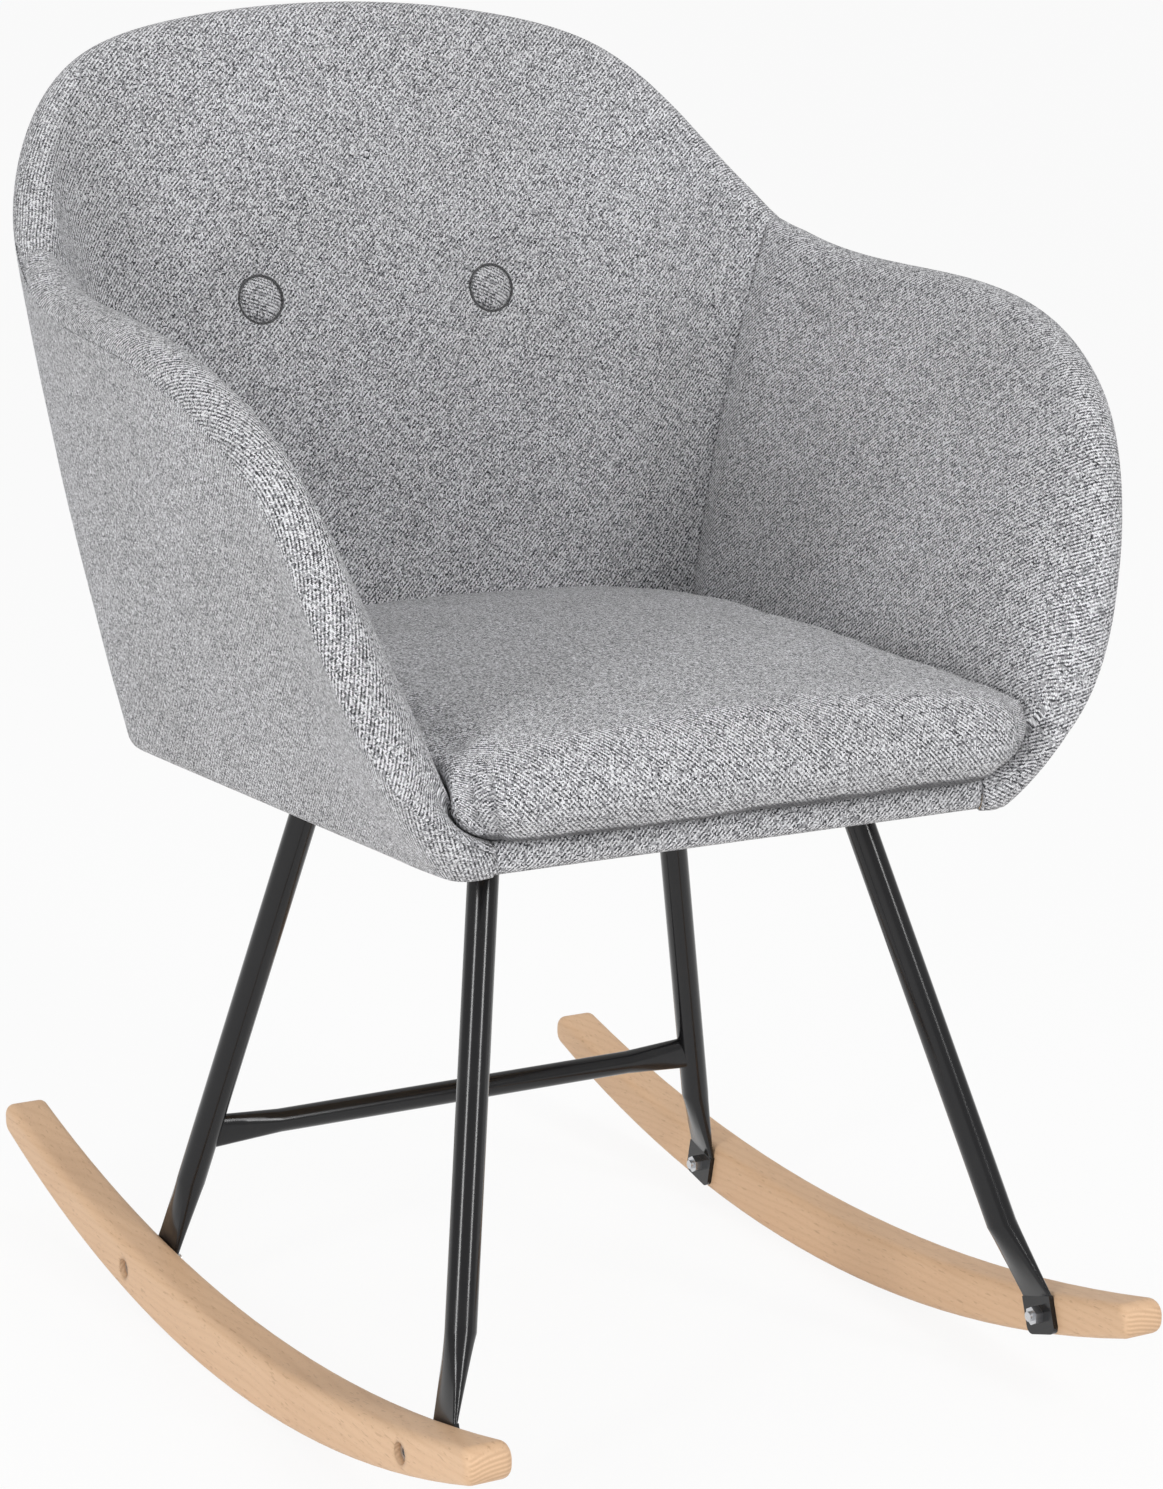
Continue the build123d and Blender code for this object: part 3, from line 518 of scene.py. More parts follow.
def make_twill_group():
    s, ins, outs = new_group(
        "mottled_twill",
        [("Threads", "NodeSocketVector", None), ("Pitch", "NodeSocketFloat", 0.001),
         ("Pale yarn", "NodeSocketColor", (0.8, 0.8, 0.8, 1)),
         ("Grey yarn", "NodeSocketColor", (0.4, 0.4, 0.4, 1)),
         ("Dark yarn", "NodeSocketColor", (0.05, 0.05, 0.05, 1))],
        [("Color", "NodeSocketColor"), ("Height", "NodeSocketFloat")],
    )

    def either(warp, weft):
        """The warp's value where it lies on top, and the weft's elsewhere."""
        return s.plus(s.times(warp, warp_up), s.times(weft, s.minus(1.0, warp_up)))

    wobble = s.noise(ins["Threads"], WOBBLE_SCALE, 1.0)
    x, y, _ = s.separate(ins["Threads"])
    u = s.plus(s.math("DIVIDE", x, ins["Pitch"]), s.times(wobble, WARP_WOBBLE))
    v = s.plus(s.math("DIVIDE", y, ins["Pitch"]), s.times(wobble, WEFT_WOBBLE))
    i, j = s.math("FLOOR", u), s.math("FLOOR", v)
    across, along = s.math("FRACT", u), s.math("FRACT", v)
    step = s.math("FLOORED_MODULO", s.plus(i, j), TWILL_REPEAT)
    warp_up = s.math("LESS_THAN", step, TWILL_OVER)
    slip = s.math("LESS_THAN", s.dice(s.combine(i, j, 6.0)), SLIP_SHARE)
    warp_up = s.math("ABSOLUTE", s.minus(warp_up, slip))
    warp_shift = s.times(s.dice(s.combine(i, 3.0, 1.0)), YARN_SHIFT)
    weft_shift = s.times(s.dice(s.combine(5.0, j, 2.0)), YARN_SHIFT)
    warp_patch = s.math("FLOOR", s.math("DIVIDE", s.plus(v, warp_shift), WARP_PATCH))
    weft_patch = s.math("FLOOR", s.math("DIVIDE", s.plus(u, weft_shift), WEFT_PATCH))
    warp_tone = s.plus(s.times(s.dice(s.combine(i, warp_patch, 4.0)), WARP_TONE), WARP_PALER)
    weft_tone = s.times(s.dice(s.combine(weft_patch, j, 8.0)), WEFT_TONE)
    tone = either(warp_tone, weft_tone)
    fibre = s.noise(ins["Threads"], FIBRE_SCALE, 1.0)
    tone = s.plus(tone, s.times(s.minus(fibre, 0.5), FIBRE_TONE))
    slub = s.noise(s.vector("MULTIPLY", ins["Threads"], SLUB_STRETCH), SLUB_SCALE, 1.0)
    tone = s.plus(tone, s.times(s.minus(slub, 0.5), SLUB_TONE))
    colour = s.mix(s.span(tone, *DARK_TONES), ins["Grey yarn"], ins["Dark yarn"])
    colour = s.mix(s.span(tone, *PALE_TONES), colour, ins["Pale yarn"])
    warp_round = s.math("SINE", s.times(across, math.pi))
    weft_round = s.math("SINE", s.times(along, math.pi))
    height = either(warp_round, s.times(weft_round, WEFT_HEIGHT))
    colour = s.mix(s.times(s.minus(1.0, height), GAP_SHADE), colour, ins["Dark yarn"])
    s.join(colour, outs["Color"])
    s.join(height, outs["Height"])
    return s.tree


def make_cloth(name, group, pitch, pale, grey, dark):
    material, s, surface = new_material(name)
    threads = s.add("ShaderNodeUVMap", uv_map="weave").outputs[0]
    place = s.add("ShaderNodeTexCoord").outputs["Object"]
    weave = place_group(s, group, Threads=threads, Pitch=pitch, Pale_yarn=(*pale, 1), Grey_yarn=(*grey, 1),
                        Dark_yarn=(*dark, 1))
    cloud = s.noise(place, 9.0, 3.0)
    wear = s.ramp(cloud, [(0.3, (0.93, 0.93, 0.93)), (0.7, (1.04, 1.04, 1.05))])
    colour = s.mix(1.0, weave["Color"], wear, "MULTIPLY")
    # Painted shade in seams and folds: the colour turns towards the dark yarn by each point's shade attribute
    painted_shade = s.add("ShaderNodeAttribute", attribute_name="painted_shade").outputs["Fac"]
    colour = s.mix(s.times(painted_shade, CREASE_SHADE), colour, (*dark, 1))
    s.join(colour, surface.inputs["Base Color"])
    fuzz = s.noise(place, 900.0, 2.0)
    s.join(s.plus(s.times(fuzz, 0.12), 0.82), surface.inputs["Roughness"])
    surface.inputs["Specular IOR Level"].default_value = 0.2
    surface.inputs["Sheen Weight"].default_value = 0.18
    surface.inputs["Sheen Roughness"].default_value = 0.45
    s.join(s.bump(weave["Height"], strength=0.5, distance=0.0005), surface.inputs["Normal"])
    return material


# Beech: pale wood with rings along the board, dark flecks and end grain on the ends, with lengths in metres
RING_SPACING, YEAR_SPACING, PITH_X = 0.0055, 0.0026, 0.2
RING_DRIFT, YEAR_DRIFT, SOFT_EDGE = 0.02, 0.004, 0.006


def make_beech_group():
    s, ins, outs = new_group(
        "beech_grain",
        [("Place", "NodeSocketVector", None), ("Facing", "NodeSocketVector", None),
         ("Pale", "NodeSocketColor", (0.7, 0.5, 0.3, 1)), ("Ring", "NodeSocketColor", (0.5, 0.3, 0.2, 1)),
         ("Fleck", "NodeSocketColor", (0.3, 0.2, 0.1, 1))],
        [("Color", "NodeSocketColor"), ("Height", "NodeSocketFloat"), ("Roughness", "NodeSocketFloat")],
    )

    def along_grain(squeeze, scale, detail, roughness=0.5):
        """Noise that is drawn out along the board."""
        return s.noise(s.vector("MULTIPLY", ins["Place"], (1.0, squeeze, 1.0)), scale, detail, roughness)

    def waves(distance, spacing):
        turn = s.math("SINE", s.times(distance, 2 * math.pi / spacing))
        return s.times(s.plus(turn, 1.0), 0.5)

    x, y, z = s.separate(ins["Place"])
    drift = s.noise(s.vector("MULTIPLY", ins["Place"], (5.0, 1.6, 5.0)), 4.0, 2.0)
    depth = s.plus(s.plus(z, s.times(x, 0.55)), s.plus(s.times(drift, RING_DRIFT), s.times(y, 0.05)))
    rings = s.math("POWER", waves(depth, RING_SPACING), 3.0)
    streak = along_grain(0.05, 420.0, 3.0, 0.6)
    fleck = s.span(along_grain(0.16, 620.0, 1.0), 0.63, 0.74)
    pores = s.span(along_grain(0.10, 1900.0, 1.0), 0.60, 0.75)
    tint = s.span(along_grain(0.3, 22.0, 2.0), 0.45, 0.75)
    colour = ins["Pale"]
    for mask, share, tone in ((rings, 0.20, "Ring"), (streak, 0.24, "Ring"), (fleck, 0.34, "Fleck"),
                              (pores, 0.22, "Fleck"), (tint, 0.18, "Ring")):
        colour = s.mix(s.times(mask, share), colour, ins[tone])
    beside = s.minus(s.math("ABSOLUTE", x), PITH_X)
    from_pith = s.math("SQRT", s.plus(s.times(beside, beside), s.times(z, z)))
    years = waves(s.plus(from_pith, s.times(drift, YEAR_DRIFT)), YEAR_SPACING)
    cut = s.mix(s.times(years, 0.42), ins["Pale"], ins["Fleck"])
    dots = s.span(s.noise(ins["Place"], 1500.0, 1.0), 0.55, 0.7)
    cut = s.mix(s.times(dots, 0.4), cut, ins["Ring"])
    _, out_y, _ = s.separate(ins["Facing"])
    end = s.span(s.math("ABSOLUTE", out_y), 0.55, 0.88)
    s.join(s.mix(s.times(end, 0.8), colour, cut), outs["Color"])
    s.join(s.minus(s.times(streak, 0.5), s.times(s.plus(fleck, pores), 0.6)), outs["Height"])
    s.join(s.plus(s.times(streak, 0.14), s.plus(s.times(end, 0.15), 0.40)), outs["Roughness"])
    return s.tree


def make_wood(name, group, pale, ring, fleck):
    material, s, surface = new_material(name)
    place = s.add("ShaderNodeTexCoord").outputs["Object"]
    facing = s.add("ShaderNodeNewGeometry").outputs["Normal"]
    grain = place_group(s, group, Place=place, Facing=facing, Pale=(*pale, 1), Ring=(*ring, 1),
                        Fleck=(*fleck, 1))
    s.join(grain["Color"], surface.inputs["Base Color"])
    s.join(grain["Roughness"], surface.inputs["Roughness"])
    soft_edge = s.add("ShaderNodeBevel", samples=6)
    soft_edge.inputs["Radius"].default_value = SOFT_EDGE
    bump = s.bump(grain["Height"], strength=0.25, distance=0.0003)
    s.join(soft_edge.outputs[0], bump.node.inputs["Normal"])
    s.join(bump, surface.inputs["Normal"])
    surface.inputs["Specular IOR Level"].default_value = 0.4
    return material


# Metal: fine texture of a coat or plating, with rubbed patches
def make_coat_group():
    s, ins, outs = new_group(
        "coat_texture",
        [("Place", "NodeSocketVector", None), ("Base", "NodeSocketColor", (0.02, 0.02, 0.02, 1)),
         ("Rubbed", "NodeSocketColor", (0.05, 0.05, 0.05, 1)), ("Grain", "NodeSocketFloat", 900.0),
         ("Smooth", "NodeSocketFloat", 0.3), ("Rough", "NodeSocketFloat", 0.45)],
        [("Color", "NodeSocketColor"), ("Roughness", "NodeSocketFloat"), ("Height", "NodeSocketFloat")],
    )
    fine = s.noise(ins["Place"], ins["Grain"], 2.0)
    patches = s.span(s.noise(ins["Place"], 24.0, 4.0, 0.6), 0.45, 0.72)
    s.join(s.mix(s.times(patches, 0.7), ins["Base"], ins["Rubbed"]), outs["Color"])
    share = s.plus(s.times(fine, 0.6), s.times(patches, 0.4))
    gap = s.minus(ins["Rough"], ins["Smooth"])
    s.join(s.plus(ins["Smooth"], s.times(gap, share)), outs["Roughness"])
    s.join(fine, outs["Height"])
    return s.tree


def make_metal(name, group, base, rubbed, grain, smooth, rough, metallic, bump, gloss):
    material, s, surface = new_material(name)
    place = s.add("ShaderNodeTexCoord").outputs["Object"]
    coat = place_group(s, group, Place=place, Base=(*base, 1), Rubbed=(*rubbed, 1), Grain=grain,
                       Smooth=smooth, Rough=rough)
    s.join(coat["Color"], surface.inputs["Base Color"])
    s.join(coat["Roughness"], surface.inputs["Roughness"])
    surface.inputs["Metallic"].default_value = metallic
    surface.inputs["Specular IOR Level"].default_value = 0.32
    surface.inputs["Coat Weight"].default_value = gloss
    surface.inputs["Coat Roughness"].default_value = 0.14
    s.join(s.bump(coat["Height"], strength=bump, distance=0.0002), surface.inputs["Normal"])
    return material


twill = make_twill_group()
beech_grain = make_beech_group()
coat_texture = make_coat_group()
cloth = make_cloth(
    "grey_mottled_cloth", twill, pitch=0.00074,
    pale=(0.95, 0.95, 0.97), grey=(0.40, 0.40, 0.415), dark=(0.045, 0.045, 0.050),
)
# Dark cloth for the stitches and the fold round each button: its darkness is partly the thread's own and
# partly painted shade in the seams' grooves and round the buttons
thread = make_cloth(
    "thread_and_painted_shade", twill, pitch=0.0006,
    pale=(0.16, 0.16, 0.165), grey=(0.10, 0.10, 0.105), dark=(0.03, 0.03, 0.03),
)
beech = make_wood(
    "clear_beech", beech_grain, pale=(0.78, 0.53, 0.335), ring=(0.58, 0.345, 0.19), fleck=(0.36, 0.19, 0.095),
)
plywood = make_wood(
    "birch_plywood", beech_grain, pale=(0.66, 0.50, 0.32), ring=(0.52, 0.36, 0.21), fleck=(0.34, 0.22, 0.12),
)
black_coat = make_metal(
    "satin_black_coat", coat_texture, base=(0.007, 0.007, 0.008), rubbed=(0.010, 0.010, 0.011),
    grain=1400.0, smooth=0.15, rough=0.24, metallic=0.0, bump=0.06, gloss=0.2,
)
zinc = make_metal(
    "zinc_plating", coat_texture, base=(0.62, 0.63, 0.65), rubbed=(0.46, 0.46, 0.48),
    grain=1800.0, smooth=0.24, rough=0.42, metallic=1.0, bump=0.1, gloss=0.0,
)


# Rigid pieces: the solids themselves, with smooth shading between their sharp edges
MERGE_GAP, SHARP_ANGLE = 0.00002, math.radians(32)


def smooth_solid(name, node, material):
    bm = bmesh.new()
    bm.from_mesh(nodes[node].data)
    bmesh.ops.remove_doubles(bm, verts=bm.verts, dist=MERGE_GAP)
    for face in bm.faces:
        face.smooth = True
    for edge in bm.edges:
        if len(edge.link_faces) == 2:
            edge.smooth = edge.calc_face_angle(0) < SHARP_ANGLE
    piece = new_piece(name, finished_mesh(name, bm), material)
    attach(piece, "root")
    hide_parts(node)


for side in ("right", "left"):
    smooth_solid(f"beech_rocker_{side}", f"rocker_{side}", beech)
    for end in ("front", "rear"):
        smooth_solid(f"steel_leg_{end}_{side}", f"leg_{end}_{side}", black_coat)
        smooth_solid(f"leg_plate_{end}_{side}", f"leg_flange_{end}_{side}", black_coat)
smooth_solid("steel_crossbar", "rear_crossbar", black_coat)
for name in ("rocker_bolts", "rocker_nuts", "flange_screws", "tee_nuts", "shell_screws", "button_clips"):
    smooth_solid(f"zinc_{name}", name, zinc)
for name in ("tub_core", "seat_board"):
    smooth_solid(f"bare_{name}", name, plywood)


# Upholstery of the bucket
def seam_draw(near):
    """Wide valley along the seam between arm and back, and the sharp fold at the seam itself."""
    away = abs(near - SEAM_SHARE)
    wide = SEAM_DRAW * (1 - ease(away / SEAM_FADE))
    return wide + SEAM_FOLD * round_fold(away, SEAM_FOLD_SHARE)


def button_places():
    places = []
    for share in (BUTTON_SHARE, 2 - BUTTON_SHARE):
        wall = Wall(share)
        foot = wall.pad_foot()
        part = (BUTTON_RISE - foot) / (wall.height - foot)
        point = wall.place([(wall.pad_inside(part), BUTTON_RISE)])[0]
        places.append((point, wall.inward, wall.up))
    return places


buttons = button_places()


def tuft(point):
    """How far the buttons pull the pad back at a point."""
    pull = 0.0
    for place, _, _ in buttons:
        away = np.linalg.norm(point - place)
        pull += TUFT_PULL * math.exp(-((away / TUFT_PULL_REACH) ** 2))
        pull += TUFT_HOLLOW * math.exp(-((away / TUFT_HOLLOW_REACH) ** 2))
    return pull


def pad_rows(shares):
    """Skin of a pad: up its inner face, over the rim to the seam, and back along the plywood."""
    rows = []
    for share in shares:
        wall = Wall(share)
        foot = wall.pad_foot()
        draw = seam_draw(wall.near)
        high = wall.pad_inside(1.0, draw)
        face = []
        for part in np.linspace(0, 1, PAD_POINTS):
            face.append((wall.pad_inside(part, draw), foot + part * (wall.height - foot)))
        for angle in np.radians(np.linspace(0, 180 - SEAM_ANGLE, ROLL_POINTS)[1:]):
            reach = high - wall.centre
            if angle >= math.pi / 2:
                reach = wall.roll - DRAW_OUTSIDE * draw * wall.scale
            rise = (wall.roll - DRAW_ON_TOP * draw) * math.sin(angle)
            face.append((wall.centre + reach * math.cos(angle), wall.height + rise))
        seam = np.array(face[-1])
        tuck = [tuple(seam + step) for step in PAD_TUCK]
        slot, top, half = wall.slot, wall.height + CORE_GAP, wall.height / 2
        back = [(-slot, max(seam[1] - PAD_TURN, top)), (-slot, top), (slot, top),
                (slot + wall.bulge(half), half), (slot + wall.bulge(foot), foot)]
        placed = wall.place(np.array(face + tuck + back))
        for k in range(len(face)):
            soft = sum(unevenness(placed[k], *wave) for wave in PAD_WAVES)
            fade = min(1.0, (len(face) - 1 - k) / FADE_POINTS)
            placed[k] += (soft * fade - tuft(placed[k])) * MM * wall.inward
        rows.append(placed)
    return rows


def near_ends(start, end, count):
    """Shares between two ends, closer together near both."""
    shares = set(np.linspace(start, end, count))
    shares.update(start + END_SHARE * step for step in END_STEPS)
    shares.update(end - END_SHARE * step for step in END_STEPS)
    return sorted(shares)


def make_pad(name, node, start, end, count):
    rows = pad_rows(near_ends(start, end, count))
    mesh = strip_mesh(name, rows, lay_flat(rows, 0, PAD_POINTS - 1))
    piece = new_piece(name, mesh, cloth)
    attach(piece, "root")
    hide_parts(node)


make_pad(
    "inner_back_cover", "inner_back_pad",
    start=SEAM_SHARE + SEAM_HALF, end=2 - SEAM_SHARE - SEAM_HALF, count=150,
)
make_pad(
    "inner_arm_cover_right", "inner_arm_pad_right",
    start=0.0, end=SEAM_SHARE - SEAM_HALF, count=190,
)
make_pad(
    "inner_arm_cover_left", "inner_arm_pad_left",
    start=2 - SEAM_SHARE + SEAM_HALF, end=2.0, count=190,
)


def cover_rows(shares):
    """Outer cloth from the rim's seam down the outside, round the lower edge and under the core."""
    rows = []
    for share in shares:
        wall = Wall(share)
        angle = math.radians(SEAM_ANGLE)
        seam = wall.outer_roll(angle) - (0, COVER_DROP)
        edge = COVER_EDGE * wall.scale
        outside = -OUTSIDE * wall.scale
        slot, half = wall.slot, wall.height / 2
        face = [tuple(seam + step) for step in COVER_TUCK]
        for turn in np.linspace(1, 0, 6)[1:]:
            face.append(tuple(wall.outer_roll(angle * turn) - (0, COVER_DROP)))
        for rise in np.linspace(wall.height - COVER_DROP, edge, SIDE_POINTS)[1:]:
            face.append((outside + wall.bulge(rise), rise))
        for turn in np.radians(np.linspace(0, 90, 9)[1:]):
            level = edge * (1 - math.sin(turn)) - COVER_UNDER * math.sin(turn)
            face.append((outside + edge * (1 - math.cos(turn)), level))
        face += [(slot + 0.6, -COVER_UNDER), (slot + 1.2, -0.6), (slot + 1.2, COVER_LIP)]
        back = [(slot + 0.2, COVER_LIP), (slot + 0.2, -0.2), (-slot, -0.2), (-slot + wall.bulge(half), half),
                (-slot, wall.height - 0.5), (-slot, seam[1] - 0.4)]
        placed = wall.place(np.array(face + back))
        foot = len(face) - COVER_FOOT_POINTS
        for k in range(COVER_TOP_POINTS, foot):
            fade = min(1.0, (k - COVER_TOP_POINTS + 1) / FADE_POINTS, (foot - k) / FADE_POINTS)
            soft = unevenness(placed[k] + COVER_WAVES_SHIFT, *COVER_WAVES)
            placed[k] -= soft * fade * MM * wall.inward
        rows.append(placed)
    return rows


def cover_shares():
    """Shares all along the wall, closer together near both toes."""
    toes = set(np.linspace(0, 0.1, 26)) | set(np.linspace(1.9, 2, 26))
    return sorted(set(np.linspace(0, 2, 330)) | toes)


rows = cover_rows(cover_shares())
mesh = strip_mesh("outer_shell_cover", rows, lay_flat(rows, COVER_FIRST, COVER_LAST))
outer = new_piece("outer_shell_cover", mesh, cloth)
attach(outer, "root")
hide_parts("outer_cover")


def mark_painted_shade(mesh, depth):
    """Painted shade: how dark each point of a cover is made, as an attribute that the cloth's colour reads.
    """
    values = [depth(v.co) for v in mesh.vertices]
    mesh.attributes.new("painted_shade", "FLOAT", "POINT").data.foreach_set("value", values)


# Rail under the front of the cushion
def rail_rows():
    low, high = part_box("front_band")
    rows, threads = [], []
    end = high.x + RAIL_PAST
    near_seams = {-end + 0.001, -end + 0.003, end - 0.001, end - 0.003}
    for x in sorted(set(np.linspace(-end, end, 90)) | near_seams):
        fold = RAIL_FOLD * round_fold(end - abs(x), RAIL_FOLD_WIDTH)
        front, back = low.y - RAIL_FRONT + fold, high.y - RAIL_BACK
        bottom = low.z - RAIL_BOTTOM + RAIL_FOLD_UNDER * fold
        top = high.z - RAIL_TOP - RAIL_FOLD_ON_TOP * fold
        row = [(back, top)]
        for first, level in ((90, top - RAIL_ROUND), (180, bottom + RAIL_ROUND)):
            for a in np.radians(np.linspace(first, first + 90, 8)):
                row.append((front + RAIL_ROUND + RAIL_ROUND * math.cos(a), level + RAIL_ROUND * math.sin(a)))
        row.append((back, bottom))
        placed = [np.array((x, y, z)) for y, z in row]
        for k in range(1, len(placed) - 1):
            placed[k] = placed[k] + np.array((0, -unevenness(placed[k], *RAIL_WAVES) * MM, 0))
        rows.append(placed)
        threads.append([(x, length) for length in run_lengths(placed)])
    return rows, threads


rows, threads = rail_rows()
rail = new_piece("front_rail_cover", strip_mesh("front_rail_cover", rows, threads), cloth)
rail_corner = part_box("front_band")[1]


def rail_painted_shade(p):
    """Painted shade under the cushion and beside the seams at the rail's ends."""
    under = ease((p.z - rail_corner.z + RAIL_SHADE_UNDER) / RAIL_SHADE_UNDER)
    beside = ease((abs(p.x) - rail_corner.x - RAIL_PAST + RAIL_SHADE_BESIDE) / RAIL_SHADE_FADE)
    return max(under, RAIL_SEAM_SHADE * beside)


mark_painted_shade(rail.data, rail_painted_shade)
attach(rail, "root")
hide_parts("front_band")


# Seat cushion, swollen by its filling
def swell(piece, cap, frames=20):
    start = np.array([v.co for v in piece.data.vertices])
    swelling = piece.modifiers.new("filling", "CLOTH")
    settings = swelling.settings
    settings.use_pressure = True
    settings.uniform_pressure_force = 4.0
    settings.tension_stiffness = 18
    settings.compression_stiffness = 18
    settings.bending_stiffness = 0.6
    settings.mass = 0.3
    settings.effector_weights.gravity = 0
    swelling.point_cache.frame_start = 1
    swelling.point_cache.frame_end = frames
    for number in range(1, frames + 1):
        scene.frame_set(number)
    shaped = piece.evaluated_get(bpy.context.evaluated_depsgraph_get())
    end = np.array([v.co for v in shaped.data.vertices])
    piece.modifiers.remove(swelling)
    scene.frame_set(1)
    move = end - start
    far = np.linalg.norm(move, axis=1, keepdims=True)
    move *= np.minimum(1, cap / np.maximum(far, 1e-9))
    piece.data.vertices.foreach_set("co", (start + move).astype(np.float32).ravel())
    piece.data.update()


def make_cushion():
    bm = bmesh.new()
    bm.from_mesh(nodes["seat_cushion"].data)
    bmesh.ops.remove_doubles(bm, verts=bm.verts, dist=0.0001)
    piece = new_piece("seat_cushion_cover", finished_mesh("seat_cushion_cover", bm), cloth)
    remesh = piece.modifiers.new("even_skin", "REMESH")
    remesh.mode = "VOXEL"
    remesh.voxel_size = CUSHION_SKIN
    every_way = {"use_axis_x": True, "use_axis_y": True, "use_axis_z": True}
    with editing(settle(piece)) as bm:
        for _ in range(4):
            bmesh.ops.smooth_vert(bm, verts=bm.verts, factor=0.5, **every_way)
    swell(piece, CUSHION_SWELL)
    smooth = piece.modifiers.new("soft_skin", "SUBSURF")
    smooth.levels = smooth.render_levels = 1
    fine = settle(piece)
    fill_bucket(fine)
    shape_cushion(fine)
    fine.materials.clear()
    fine.materials.append(cloth)
    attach(piece, "root")
    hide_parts("seat_cushion")


def edge_lengths(tree, core, out):
    """Length of skin from straight above the core of the cushion's edge to each angle below it."""
    angles = np.radians(np.linspace(90, -120, 106))
    hits = []
    for angle in angles:
        ray = Vector(out) * math.cos(angle) + Vector((0, 0, math.sin(angle)))
        hit = tree.ray_cast(Vector(core), ray)[0]
        hits.append(np.array(hit if hit is not None else hits[-1]))
    return angles[::-1], run_lengths(hits)[::-1]


def fill_bucket(mesh):
    """The filling presses the sides and back of the cushion against the pads round it."""
    walls = BVHTree.FromPolygons(*wall_faces(), epsilon=0.0)
    side_from, front_from = 0.35, -0.55
    with editing(mesh) as bm:
        bm.normal_update()
        pushes = {}
        for vert in bm.verts:
            out = Vector((vert.normal.x, vert.normal.y, 0))
            if out.length < side_from or vert.normal.y < front_from:
                continue
            distance = walls.ray_cast(vert.co, out.normalized())[3]
            if distance is not None:
                reach = min(max(distance - CUSHION_CLEARANCE, 0.0), CUSHION_PUSH)
                share = ease((out.length - side_from) / 0.5)
                pushes[vert] = out.normalized() * reach * share * ease((vert.normal.y - front_from) / 0.4)
        for _ in range(3):
            eased = {}
            for vert in bm.verts:
                near = [pushes.get(edge.other_vert(vert), Vector()) for edge in vert.link_edges]
                eased[vert] = pushes.get(vert, Vector()) * 0.5 + sum(near, Vector()) * (0.5 / len(near))
            pushes = eased
        for vert, push in pushes.items():
            vert.co += push


def wall_faces():
    points, faces = [], []
    for name in ("inner_back_cover", "inner_arm_cover_right", "inner_arm_cover_left"):
        mesh = bpy.data.objects[name].data
        first = len(points)
        points += [v.co.copy() for v in mesh.vertices]
        faces += [[first + k for k in face.vertices] for face in mesh.polygons]
    return points, faces


def shape_cushion(mesh):
    """The weave's coordinates, unevenness, corner seams, painted shade in those seams and along the bottom of
    the front, and smooth faces.
    """
    low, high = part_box("seat_cushion")
    middle = (low.z + high.z) / 2
    bm = bmesh.new()
    bm.from_mesh(mesh)
    painted_shade = bm.verts.layers.float.new("painted_shade")
    bm.normal_update()
    tree = BVHTree.FromBMesh(bm)
    front, rear, side = low.y + CUSHION_INSET, high.y - CUSHION_INSET, high.x - CUSHION_INSET
    front_skin = edge_lengths(tree, (0, front, middle), (0, -1, 0))
    rear_skin = edge_lengths(tree, (0, rear, middle), (0, 1, 0))
    side_skin = edge_lengths(tree, (side, (low.y + high.y) / 2, middle), (1, 0, 0))

    def wrapped(out, up, skin):
        return float(np.interp(math.atan2(up, out), *skin))

    marks = {}
    for vert in bm.verts:
        x, y, up = vert.co.x, vert.co.y, vert.co.z - middle
        along, across = y, x
        if y < front:
            along = front - wrapped(front - y, up, front_skin)
        elif y > rear:
            along = rear + wrapped(y - rear, up, rear_skin)
        if abs(x) > side:
            across = math.copysign(side + wrapped(abs(x) - side, up, side_skin), x)
        marks[vert] = (across, along)
    moves = []
    for vert in bm.verts:
        n = vert.normal
        depth = sum(unevenness(vert.co, *wave) for wave in CUSHION_WAVES)
        if n.y < 0 and vert.co.y < front:
            from_seam = (abs(n.x) - abs(n.y)) * 0.7 * CUSHION_CORNER / CORNER_SEAM_WIDTH
            seam = math.exp(-from_seam**2) * ease((0.75 - n.z) / 0.3)
            depth -= CORNER_SEAM_DEPTH * seam
            # Painted shade: darker in the corner seams and in a band along the bottom of the front, above the
            # rail
            fold = low.z + CREASE_SHADE_RISE + unevenness(vert.co, *CREASE_SHADE_WAVES) * MM
            vert[painted_shade] = max(CORNER_SEAM_SHADE * seam, ease((fold - vert.co.z) / CREASE_SHADE_FADE))
        moves.append(n * depth * MM)
    for vert, move in zip(bm.verts, moves):
        vert.co += move
        vert.co.z = max(vert.co.z, low.z - 0.0002)
    uv = bm.loops.layers.uv.new("weave")
    for face in bm.faces:
        face.smooth = True
        sideways = abs(face.normal.x) > abs(face.normal.y)
        for loop in face.loops:
            across, along = marks[loop.vert]
            loop[uv].uv = (across, loop.vert.co.y) if sideways else (loop.vert.co.x, along)
    bm.to_mesh(mesh)
    bm.free()


make_cushion()


